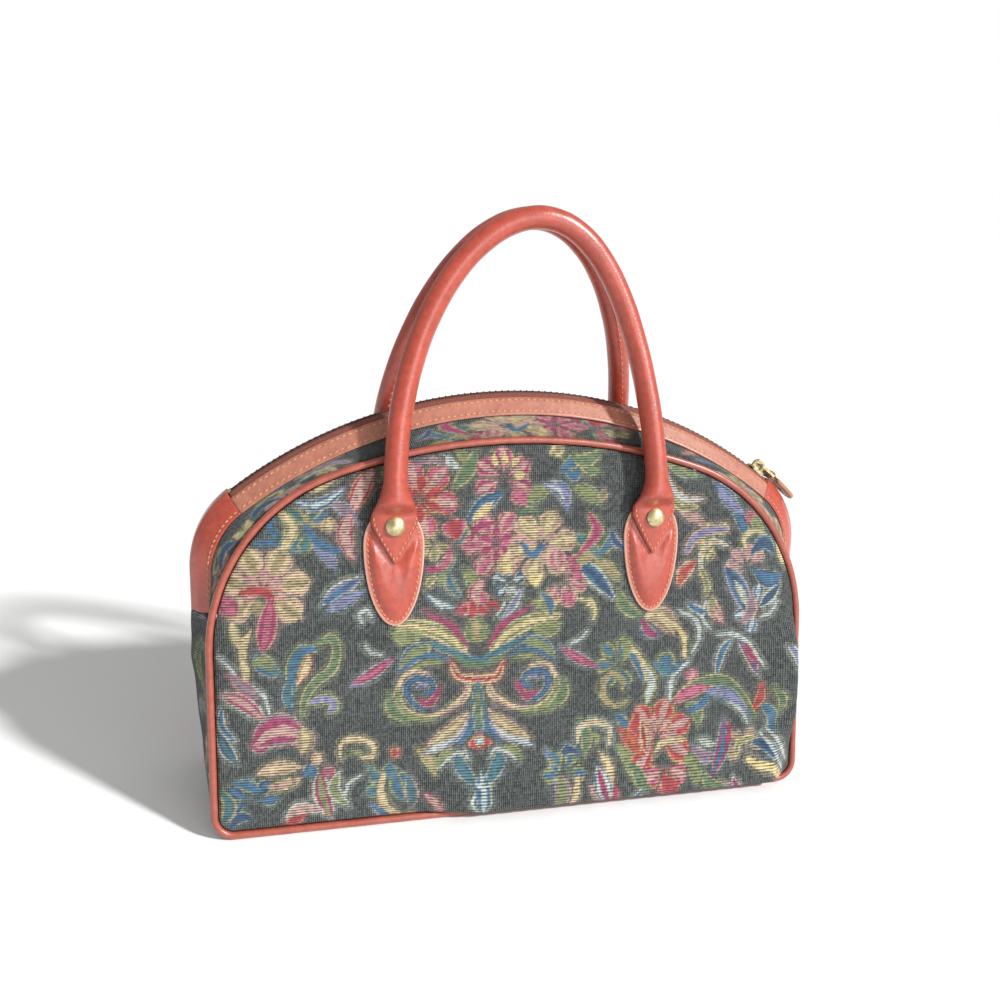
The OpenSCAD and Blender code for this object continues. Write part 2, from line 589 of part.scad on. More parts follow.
// Bail: an arch along the slider that holds the link
bail_l = slider_l * 0.75;
bail_w = slider_w * 0.26;
bail_leg = (bail_l - link_t * 3) / 2;
module bail() translate([0, bail_w / 2, channel + slider_t]) rotate([90, 0, 0]) linear_extrude(bail_w)
    difference() {
        polygon([[-bail_l / 2, -slider_t / 2], [bail_l / 2, -slider_t / 2], [bail_l / 2, bail_h * 0.6],
            [bail_l / 2 - bail_leg, bail_h], [bail_leg - bail_l / 2, bail_h], [-bail_l / 2, bail_h * 0.6]]);
        translate([bail_leg - bail_l / 2, 0]) square([link_t * 3, bail_clear]);
    }
module zip_slider() color(brass) at_slider() {
    slider_half();
    bail();
}
module slider_plate() color(brass) at_slider() mirror([0, 0, 1]) slider_half();

// Pull frame: x along the pull from the hinge in the bail, z out
module at_pull() at_slider() translate([0, 0, pull_axis_r - zip_r]) rotate([0, link_droop, 0]) children();
link_bar = link_t;
module pull_link() color(brass) at_pull() translate([-link_bar / 2, 0, -link_t / 2])
    linear_extrude(link_t) difference() {
        translate([0, -link_w / 2]) square([link_l, link_w]);
        translate([link_bar, link_bar - link_w / 2]) square([link_l - 2 * link_bar, link_w - 2 * link_bar]);
    }
// Leather pull: a strip folded round the link's far bar, widening to a round-ended tab with a slot
fold_x = link_l - link_bar;
fold_r = link_t * 0.75 + lay_gap;
neck_w = link_w - 2 * link_bar - 2 * run_gap;
neck_l = fold_r + pull_t + link_bar;
tab_r = pull_w / 2;
module pull_side() difference() {
    union() {
        circle(fold_r + pull_t);
        translate([0, -pull_t - lay_gap / 2]) square([pull_l, 2 * pull_t + lay_gap]);
    }
    circle(fold_r);
}
module pull_plan() {
    translate([-neck_l, -neck_w / 2]) square([3 * neck_l, neck_w]);
    difference() {
        union() {
            translate([neck_l, -pull_w / 2]) square([pull_l - tab_r - neck_l, pull_w]);
            translate([pull_l - tab_r, 0]) circle(tab_r);
        }
        translate([neck_l + slot_w, -slot_w / 2]) square([slot_l - slot_w, slot_w]);
        for (x = [neck_l + slot_w, neck_l + slot_l]) translate([x, 0]) circle(d = slot_w);
    }
}
module zip_pull() color(pull_leather) at_pull()
    translate([fold_x, 0, 0]) rotate([0, pull_droop, 0]) intersection() {
        translate([0, pull_w, 0]) rotate([90, 0, 0]) linear_extrude(2 * pull_w) pull_side();
        translate([0, 0, -pull_w]) linear_extrude(2 * pull_w) pull_plan();
    }

front_panel();
back_panel();
left_gusset();
right_gusset();
base_panel();
base_board();
front_piping();
back_piping();
front_zip_gusset();
back_zip_gusset();
front_zip_trim();
back_zip_trim();
front_zip_tape();
back_zip_tape();
front_zip_teeth();
back_zip_teeth();
zip_stops();
left_zip_patch();
right_zip_patch();
front_left_tab();
front_right_tab();
back_left_tab();
back_right_tab();
front_left_foot();
front_right_foot();
back_left_foot();
back_right_foot();
rivets();
front_handle();
back_handle();
zip_slider();
slider_plate();
pull_link();
zip_pull();
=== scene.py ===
# %% [markdown]
# # A carpet bag with a tapestry body and rolled leather handles
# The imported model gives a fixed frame: every solid is in place, in metres, and never moves here.
# This script dresses it. Each soft or leather piece is a surface worked out with numpy, in
# millimetres, and turned to metres as it goes into its mesh.

# %% the frame
from math import asin, atan2, cos, pi, radians, sin, sqrt
import bpy
import numpy as np
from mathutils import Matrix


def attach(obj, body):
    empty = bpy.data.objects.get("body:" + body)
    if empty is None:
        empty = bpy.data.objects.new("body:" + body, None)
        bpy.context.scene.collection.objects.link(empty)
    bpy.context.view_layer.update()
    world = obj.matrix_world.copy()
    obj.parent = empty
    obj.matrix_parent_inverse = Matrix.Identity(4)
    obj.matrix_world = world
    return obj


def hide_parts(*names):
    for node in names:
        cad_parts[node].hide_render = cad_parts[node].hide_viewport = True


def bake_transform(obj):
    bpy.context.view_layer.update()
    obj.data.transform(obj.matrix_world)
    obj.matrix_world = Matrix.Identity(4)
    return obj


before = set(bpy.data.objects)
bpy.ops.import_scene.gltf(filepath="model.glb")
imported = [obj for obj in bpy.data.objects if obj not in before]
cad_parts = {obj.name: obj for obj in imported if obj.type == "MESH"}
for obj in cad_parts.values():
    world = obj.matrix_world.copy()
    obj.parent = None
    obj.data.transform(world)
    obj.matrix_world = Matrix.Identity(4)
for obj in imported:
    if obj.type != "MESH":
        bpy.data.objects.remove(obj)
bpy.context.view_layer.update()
print("frame:", len(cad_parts), "nodes")

# %% [markdown]
# ## Sizes
# The bag was measured in the photograph and drawn from a few sizes: the panel's width and height,
# three radii for its outline, and the depth of its base. The same sizes are repeated here, so that
# each surface lies exactly where its solid is.

# %% sizes of the bag, in millimetres and radians
MM = 0.001
HALF_W, PANEL_H = 190.0, 235.0
CROWN_R, SHOULDER_R, CORNER_R = 365.0, 110.0, 12.0
HALF_DEPTH, LEAN = 55.0, radians(8.2)
WALL, BELLY, PIPING_R, SEAM_GAP = 2.0, 4.0, 2.25, 0.3
SEAM_BOTTOM = PIPING_R / cos(LEAN)
SHOULDER_X = HALF_W - SHOULDER_R
CROWN_S = PANEL_H - CROWN_R
SHOULDER_S = CROWN_S + sqrt((CROWN_R - SHOULDER_R) ** 2 - SHOULDER_X ** 2)
CROWN_ANGLE = atan2(SHOULDER_X, SHOULDER_S - CROWN_S)
PANEL_INSET = PIPING_R + SEAM_GAP
SPLIT_Z = 128.0
FINE = 1.0


def on_front(x, s, n):
    """Place on the front panel: x across, s up along its lean, n out from its seam plane."""
    y = -HALF_DEPTH + s * sin(LEAN) - n * cos(LEAN)
    return np.stack(np.broadcast_arrays(x, y, s * cos(LEAN) + n * sin(LEAN)), -1)


def same(points):
    """The piece as it is, on the front or the right."""
    return points


def to_back(points):
    """The same place on the back: the bag is a mirror image of itself from front to back."""
    return points * np.array([1.0, -1.0, 1.0])


def to_left(points):
    """The mirror image on the left."""
    return points * np.array([-1.0, 1.0, 1.0])


def unit(v):
    """Each vector divided by its own length."""
    return v / np.linalg.norm(v, axis=-1, keepdims=True)


def ease(t):
    """Smooth step: 0 before 0, 1 after 1, and 3t^2 - 2t^3 between."""
    t = np.clip(t, 0.0, 1.0)
    return t * t * (3 - 2 * t)


FRONT_AND_BACK = (("front", same), ("back", to_back))
RIGHT_AND_LEFT = (("right", same), ("left", to_left))
print("panel rises to", round(PANEL_H * cos(LEAN), 1), "mm, its shoulders at", round(SHOULDER_S, 1))

# %% [markdown]
# ## Camera first
# The camera was solved from the panel's corners in the photograph: a 36 mm lens on a 36 mm sensor,
# a little to the left of the bag, above its middle, and looking slightly down.

# %% camera
CAMERA_PLACE = (-165.1, -604.0, 344.8)
CAMERA_TURN = (76.018, -1.876, -14.072)
LENS_MM = SENSOR_MM = 36.0
lens = bpy.data.cameras.new("camera")
lens.sensor_width = SENSOR_MM
lens.lens = LENS_MM
camera = bpy.data.objects.new("camera", lens)
camera.location = np.array(CAMERA_PLACE) * MM
camera.rotation_euler = np.radians(CAMERA_TURN)
bpy.context.scene.collection.objects.link(camera)
bpy.context.scene.camera = camera
print("camera at", CAMERA_PLACE, "mm")

# %% [markdown]
# ## From arrays to meshes
# Blender can take a mesh point by point, but whole arrays are faster and easier to read. One
# function puts points and faces into a mesh, checks by the enclosed volume that the faces point
# outwards, and ties the piece to the body that it moves with. Another skins a row of rings, which is
# how most of the bag's parts are made: a profile carried along a path.

# %% mesh helpers
def enclosed_volume(points, faces):
    """Sum over each face's triangles of a . (b x c) / 6, which is positive if faces point outwards."""
    total = 0.0
    for corners in faces:
        for i in range(1, corners.shape[1] - 1):
            a, b, c = (points[corners[:, k]] for k in (0, i, i + 1))
            total += np.einsum("ij,ij->", a, np.cross(b, c)) / 6
    return total


def outward(points, faces):
    """The same shape, with its faces turned round if the volume they enclose is negative."""
    if enclosed_volume(points, faces) < 0:
        faces = [corners[:, ::-1] for corners in faces]
    return points, faces


def make_piece(name, points, faces, finish, body="bag", slot="red_leather", nodes=(), **values):
    """One mesh from points in millimetres and arrays of faces; values are weave, colour or edge."""
    points, faces = outward(points, faces)
    counts = np.concatenate([np.full(len(f), f.shape[1]) for f in faces])
    corners = np.concatenate([f.ravel() for f in faces])
    mesh = bpy.data.meshes.new(name)
    mesh.vertices.add(len(points))
    mesh.vertices.foreach_set("co", (points * MM).astype(np.float32).ravel())
    mesh.loops.add(len(corners))
    mesh.loops.foreach_set("vertex_index", corners.astype(np.int32))
    mesh.polygons.add(len(counts))
    mesh.polygons.foreach_set("loop_start", (np.cumsum(counts) - counts).astype(np.int32))
    mesh.polygons.foreach_set("use_smooth", np.ones(len(counts), bool))
    if "weave" in values:
        flat = mesh.uv_layers.new(name="weave")
        flat.data.foreach_set("uv", (values["weave"][corners] * MM).astype(np.float32).ravel())
    if "colour" in values:
        layer = mesh.attributes.new("colour", "FLOAT_COLOR", "POINT")
        layer.data.foreach_set("color", values["colour"].astype(np.float32).ravel())
    if "edge" in values:
        layer = mesh.attributes.new("edge", "FLOAT", "POINT")
        layer.data.foreach_set("value", values["edge"].astype(np.float32).ravel())
    mesh.update(calc_edges=True)
    mesh.validate()
    mesh.materials.append(finish)
    piece = bpy.data.objects.new(name, mesh)
    bpy.context.scene.collection.objects.link(piece)
    if body:
        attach(piece, body)
    if nodes:
        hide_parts(*nodes)
    print(name, len(points), "points")
    return piece


def loft(rings, loop=False):
    """Skin through rings of points, shaped (rings, points round, 3); fans close the two ends."""
    k, m = rings.shape[:2]
    i = np.arange(k if loop else k - 1)[:, None] * m
    j = np.arange(m)[None, :]
    after = (i + m) % (k * m)
    quads = np.stack([i + j, i + (j + 1) % m, after + (j + 1) % m, after + j], -1).reshape(-1, 4)
    if loop:
        return rings.reshape(-1, 3), [quads]
    j = np.arange(m)
    first = np.stack([(j + 1) % m, j, np.full(m, k * m)], -1)
    last = np.stack([(k - 1) * m + j, (k - 1) * m + (j + 1) % m, np.full(m, k * m + 1)], -1)
    return with_ends(rings), [quads, np.vstack([first, last])]


def with_ends(values):
    """The values of all the rings, then the mean of the first and of the last ring for the fans."""
    return np.vstack([values.reshape(-1, values.shape[-1]), values[[0, -1]].mean(axis=1)])


def copies(points, faces, places, *axes):
    """One small shape set at many places: each copy is place + x a + y b + z c for its own axes."""
    set_points = places[:, None] + sum(points[None, :, i, None] * axes[i][:, None] for i in range(3))
    steps = np.arange(len(places))[:, None, None] * len(points)
    return set_points.reshape(-1, 3), [(f[None] + steps).reshape(-1, f.shape[1]) for f in faces]


def join(*shapes):
    """Several shapes of points and faces as one, with the face numbers moved on."""
    faces, start = [], 0
    for points, parts in shapes:
        faces += [f + start for f in parts]
        start += len(points)
    return np.vstack([points for points, parts in shapes]), faces


def resample(path, count, closed=False):
    """Points evenly spaced along a path, by its running length."""
    path = np.vstack([path, path[:1]]) if closed else path
    run = np.concatenate([[0], np.cumsum(np.linalg.norm(np.diff(path, axis=0), axis=1))])
    at = np.linspace(0, run[-1], count, endpoint=not closed)
    return np.stack([np.interp(at, run, column) for column in path.T], -1)


def loop_way(loop):
    """Direction along a closed loop at each point, from the point before to the point after."""
    return unit(np.roll(loop, -1, 0) - np.roll(loop, 1, 0))


print("a loft of two squares has", sum(len(f) for f in loft(np.zeros((2, 4, 3)))[1]), "faces")

# %% [markdown]
# ## Stitches
# Every leather edge on the bag is held by a row of slanted tan stitches. Each stitch is one short
# capsule whose ends dive into the leather. One is made, then copied along the row in one array. An
# array modifier on a curve could set them out too, but here each has its own slant and its own way
# out of the leather.

# %% stitches
STITCH_SIDES = 6
STITCH_STEPS = (-1.0, -0.8, -0.35, 0.35, 0.8, 1.0)


def stitch_row(places, along, up, length=2.7, radius=0.42, slant=0.0):
    """Capsules along a row: half length L, radius r (1 - t^6)^0.5, sinking by r t^2 at the ends."""
    side = unit(np.cross(up, along))
    along = along * cos(slant) + side * sin(slant)
    side = unit(np.cross(up, along))
    t = np.array(STITCH_STEPS)[:, None]
    b = 2 * pi * np.arange(STITCH_SIDES) / STITCH_SIDES
    thick = radius * np.sqrt(np.maximum(1 - t ** 6, 0.02))
    one = np.stack(np.broadcast_arrays(t * length / 2, thick * np.cos(b),
                                       thick * np.sin(b) - radius * t * t), -1)
    return copies(*loft(one), places, along, side, up)


print("a stitch has", STITCH_SIDES * len(STITCH_STEPS) + 2, "points")

# %% [markdown]
# ## Finishes
# Each finish starts from what the real one is. Colours are written as they look on a screen, in
# sRGB, and one function turns them to the linear values that Blender computes with. Patterns take
# their scale from real sizes: a noise texture of scale 1/w has blots about w metres wide.

# %% colour and node helpers
def linear(code, alpha=1.0):
    """sRGB hex to linear: v / 12.92 below 0.04045, else ((v + 0.055) / 1.055) ^ 2.4."""
    v = np.array([int(code[i:i + 2], 16) for i in (1, 3, 5)]) / 255
    return (*np.where(v < 0.04045, v / 12.92, ((v + 0.055) / 1.055) ** 2.4), alpha)


def add(tree, kind, inputs=None, **settings):
    """Adds one node: settings are its own values, and an input is a value or a socket to link."""
    new = tree.nodes.new("ShaderNode" + kind)
    for key, value in settings.items():
        setattr(new, key, value)
    for key, value in (inputs or {}).items():
        if isinstance(value, bpy.types.NodeSocket):
            tree.links.new(value, new.inputs[key])
        else:
            new.inputs[key].default_value = value
    return new


def finish(name):
    """A new material, its node tree, and the Principled shader that Blender puts into it."""
    material = bpy.data.materials.new(name)
    material.use_nodes = True
    return material, material.node_tree, material.node_tree.nodes["Principled BSDF"]


print("colour helper: mid grey is", round(linear("#808080")[0], 3), "linear")

# %% [markdown]
# ### Tapestry
# A jacquard tapestry: a charcoal ground of fine upright ribs, over which coloured wool floats run
# from side to side wherever the pattern needs them. The pattern's colour sits on the mesh as an
# attribute, with the share of floats in its alpha. The shader adds the ribs, the floats and the
# uneven threads, from a UV map that holds flat cloth sizes in metres, and paints shade into the
# grooves between the threads. Real threads are under a millimetre apart. They are drawn a little
# coarser, so that they show in a picture of the whole bag.

# %% tapestry finish
RIB_MM, FLOAT_MM = 1.25, 1.55
FLOAT_RIBS, FADE_MM, THREAD_RISE_MM = 2, 50.0, 0.35
GROUND = "#4a4e4d"


def tapestry_finish():
    """Woven wool: colour x painted thread shade, dark in the grooves of ribs sin(2 pi x / rib) and floats
    sin(2 pi s / float).
    """
    material, tree, shader = finish("jacquard_wool_tapestry")
    cloth = add(tree, "UVMap", uv_map="weave").outputs["UV"]
    flat = add(tree, "SeparateXYZ", {0: cloth})
    paint = add(tree, "Attribute", attribute_name="colour")
    waves = []
    for axis, pitch in ((0, RIB_MM), (1, FLOAT_MM)):
        turn = add(tree, "Math", {0: flat.outputs[axis], 1: 2 * pi / (pitch * MM)}, operation="MULTIPLY")
        waves.append(add(tree, "Math", {0: turn.outputs[0]}, operation="SINE").outputs[0])
    dyes = []
    for ribs in (1, FLOAT_RIBS):
        cell = (ribs * RIB_MM * MM, FLOAT_MM * MM, 1)
        thread = add(tree, "VectorMath", {0: cloth, 1: cell}, operation="SNAP").outputs[0]
        dyes.append(add(tree, "TexWhiteNoise", {"Vector": thread}, noise_dimensions="2D").outputs["Value"])
    even = add(tree, "Math", {0: dyes[1], 1: 0.5, 2: 0.25}, operation="MULTIPLY_ADD").outputs[0]
    dye = add(tree, "Mix", {0: paint.outputs["Alpha"], 2: dyes[0], 3: even}, data_type="FLOAT").outputs[0]
    beads = add(tree, "Math", {0: waves[1], 1: 0.45, 2: waves[0]}, operation="MULTIPLY_ADD").outputs[0]
    wave = add(tree, "Mix", {0: paint.outputs["Alpha"], 2: beads, 3: waves[1]}, data_type="FLOAT").outputs[0]
    # painted shade: the rib and float waves darken the colour in the grooves between the threads, and uneven
    # dye and fading are mixed in below
    painted_groove_shade = add(tree, "Math", {0: wave, 1: 0.3, 2: 0.6}, operation="MULTIPLY_ADD").outputs[0]
    uneven = add(tree, "Math", {0: dye, 1: 0.75, 2: painted_groove_shade}, operation="MULTIPLY_ADD").outputs[0]
    blots = {"Vector": cloth, "Scale": 1 / (FADE_MM * MM), "Detail": 3.0}
    faded = add(tree, "TexNoise", blots).outputs["Fac"]
    worn = add(tree, "Math", {0: faded, 1: 0.5, 2: 0.75}, operation="MULTIPLY_ADD").outputs[0]
    depth = add(tree, "Math", {0: uneven, 1: worn}, operation="MULTIPLY").outputs[0]
    loose = add(tree, "Math", {0: dye, 1: 1.6, 2: waves[1]}, operation="MULTIPLY_ADD").outputs[0]
    covers = add(tree, "MapRange", {"Value": loose, 1: -0.6, 2: 0.8}).outputs[0]
    floats = add(tree, "Math", {0: covers, 1: paint.outputs["Alpha"]}, operation="MULTIPLY").outputs[0]
    tones = {0: floats, 6: linear(GROUND), 7: paint.outputs["Color"]}
    woven = add(tree, "Mix", tones, data_type="RGBA").outputs[2]
    colour = add(tree, "VectorMath", {0: woven, "Scale": depth}, operation="SCALE")
    tree.links.new(colour.outputs[0], shader.inputs["Base Color"])
    height = add(tree, "Math", {0: dye, 1: 0.5, 2: wave}, operation="MULTIPLY_ADD").outputs[0]
    bump = add(tree, "Bump", {"Height": height, "Strength": 0.7, "Distance": THREAD_RISE_MM * MM})
    tree.links.new(bump.outputs[0], shader.inputs["Normal"])
    shader.inputs["Roughness"].default_value = 0.92
    shader.inputs["Sheen Weight"].default_value = 0.12
    shader.inputs["Sheen Roughness"].default_value = 0.5
    shader.inputs["Specular IOR Level"].default_value = 0.2
    return material


tapestry = tapestry_finish()
print("tapestry ribs", RIB_MM, "mm, floats", FLOAT_MM, "mm")

# %% [markdown]
# ### Leather
# Vegetable tanned cowhide with an aniline finish: a warm terracotta that pools darker in the pores
# and rubs paler where it is cut or bent. The grain is a fine cell pattern, about a millimetre wide.
# Cut edges carry an attribute, edge, that turns them to the colour of raw hide.

# %% leather finish
BLOT_MM, PORE_MM, GRAIN_MM, GRAIN_RISE_MM = 22.0, 3.5, 1.1, 0.4


def leather_finish(name, light, dark, raw, rough, coat):
    """Hide: two tones by a slow noise, dark pores by a fine one, and raw hide at the cut edges."""
    material, tree, shader = finish(name)
    place = add(tree, "TexCoord").outputs["Object"]
    blots = {"Vector": place, "Scale": 1 / (BLOT_MM * MM), "Detail": 5.0, "Roughness": 0.6}
    slow = add(tree, "TexNoise", blots).outputs["Fac"]
    tone = add(tree, "Mix", {0: slow, 6: linear(dark), 7: linear(light)}, data_type="RGBA")
    cells = add(tree, "TexVoronoi", {"Vector": place, "Scale": 1 / (GRAIN_MM * MM)}).outputs["Distance"]
    dots = {"Vector": place, "Scale": 1 / (PORE_MM * MM), "Detail": 4.0}
    pores = add(tree, "TexNoise", dots).outputs["Fac"]
    rub = add(tree, "Math", {0: pores, 1: 0.7, 2: 0.64}, operation="MULTIPLY_ADD").outputs[0]
    stained = add(tree, "VectorMath", {0: tone.outputs[2], "Scale": rub}, operation="SCALE").outputs[0]
    edge = add(tree, "Attribute", attribute_name="edge").outputs["Fac"]
    colour = add(tree, "Mix", {0: edge, 6: stained, 7: linear(raw)}, data_type="RGBA").outputs[2]
    tree.links.new(colour, shader.inputs["Base Color"])
    height = add(tree, "Math", {0: cells, 1: 0.6, 2: pores}, operation="MULTIPLY_ADD").outputs[0]
    bump = add(tree, "Bump", {"Height": height, "Strength": 0.35, "Distance": GRAIN_RISE_MM * MM})
    tree.links.new(bump.outputs[0], shader.inputs["Normal"])
    shader.inputs["Roughness"].default_value = rough
    shader.inputs["IOR"].default_value = 1.5
    shader.inputs["Coat Weight"].default_value = coat
    shader.inputs["Coat Roughness"].default_value = 0.28
    return material


red_leather = leather_finish("aniline_cowhide_terracotta", "#bd4f3c", "#943828", "#e6c0aa", 0.36, 0.6)
piping_leather = leather_finish("skived_cowhide_piping", "#b05a48", "#883c2e", "#d09a80", 0.4, 0.5)
trim_leather = leather_finish("split_cowhide_trim", "#bb7d66", "#935647", "#d2a888", 0.42, 0.4)
pull_leather = leather_finish("waxed_cowhide_tan", "#96603f", "#6e432c", "#b98a64", 0.45, 0.25)
print("leathers:", red_leather.name, piping_leather.name, trim_leather.name, pull_leather.name)

# %% [markdown]
# ### Thread, zip, brass and board
# The stitching is waxed linen thread. The zip has a woven polyester tape and moulded acetal teeth,
# both brown. Rivets and slider are brass, which darkens in the hollows and rubs pale on the domes;
# here a noise mixes a darker and a paler tone.

# %% small finishes
def speckled_finish(name, light, dark, blot_mm, rough, metallic=0.0, bump_mm=0.0):
    """Two tones mixed by a noise of the given blot size, which also makes a fine relief."""
    material, tree, shader = finish(name)
    place = add(tree, "TexCoord").outputs["Object"]
    blots = {"Vector": place, "Scale": 1 / (blot_mm * MM), "Detail": 4.0}
    noise = add(tree, "TexNoise", blots).outputs["Fac"]
    sharp = add(tree, "MapRange", {"Value": noise, 1: 0.35, 2: 0.65}).outputs[0]
    colour = add(tree, "Mix", {0: sharp, 6: linear(dark), 7: linear(light)}, data_type="RGBA").outputs[2]
    tree.links.new(colour, shader.inputs["Base Color"])
    bump = add(tree, "Bump", {"Height": noise, "Strength": 0.5, "Distance": bump_mm * MM})
    tree.links.new(bump.outputs[0], shader.inputs["Normal"])
    shader.inputs["Roughness"].default_value = rough
    shader.inputs["Metallic"].default_value = metallic
    return material


thread = speckled_finish("waxed_linen_thread", "#d59c78", "#a36c4c", 0.8, 0.7, bump_mm=0.2)
zip_cloth = speckled_finish("woven_polyester_tape", "#8c5244", "#66382e", 0.7, 0.85, bump_mm=0.2)
acetal = speckled_finish("moulded_acetal_teeth", "#5a3024", "#3a1c14", 1.5, 0.4, bump_mm=0.05)
brass = speckled_finish("antique_brass", "#e2d6aa", "#b7a576", 2.5, 0.46, metallic=1.0, bump_mm=0.05)
fibreboard = speckled_finish("pressed_fibreboard", "#8f7858", "#74603f", 1.2, 0.9, bump_mm=0.2)
BRASS_NODES = ("rivets", "zip_stops", "zip_slider", "slider_plate", "pull_link")
for node, coat in [(node, brass) for node in BRASS_NODES] + [("base_board", fibreboard)]:
    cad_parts[node].data.materials.clear()
    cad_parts[node].data.materials.append(coat)
print("brass on", ", ".join(BRASS_NODES))

# %% [markdown]
# ## The pattern of the tapestry
# The cloth shows flowers, leaves and stems on either side of a bouquet, as such tapestries have for
# centuries. Each is drawn as one stroke: a smooth spine through a few points, with a half width.
# Leaves are widest in the middle, drops near their start, and lines are even. A bloom is a ring of
# petals, given by its centre, its two reaches, the angles it spans and how many petals it has. A
# stroke has up to three colours, from its outline to its heart, and a 2 after its kind means that it
# is also drawn on the other side of the bouquet. Sizes are millimetres on the flat panel.

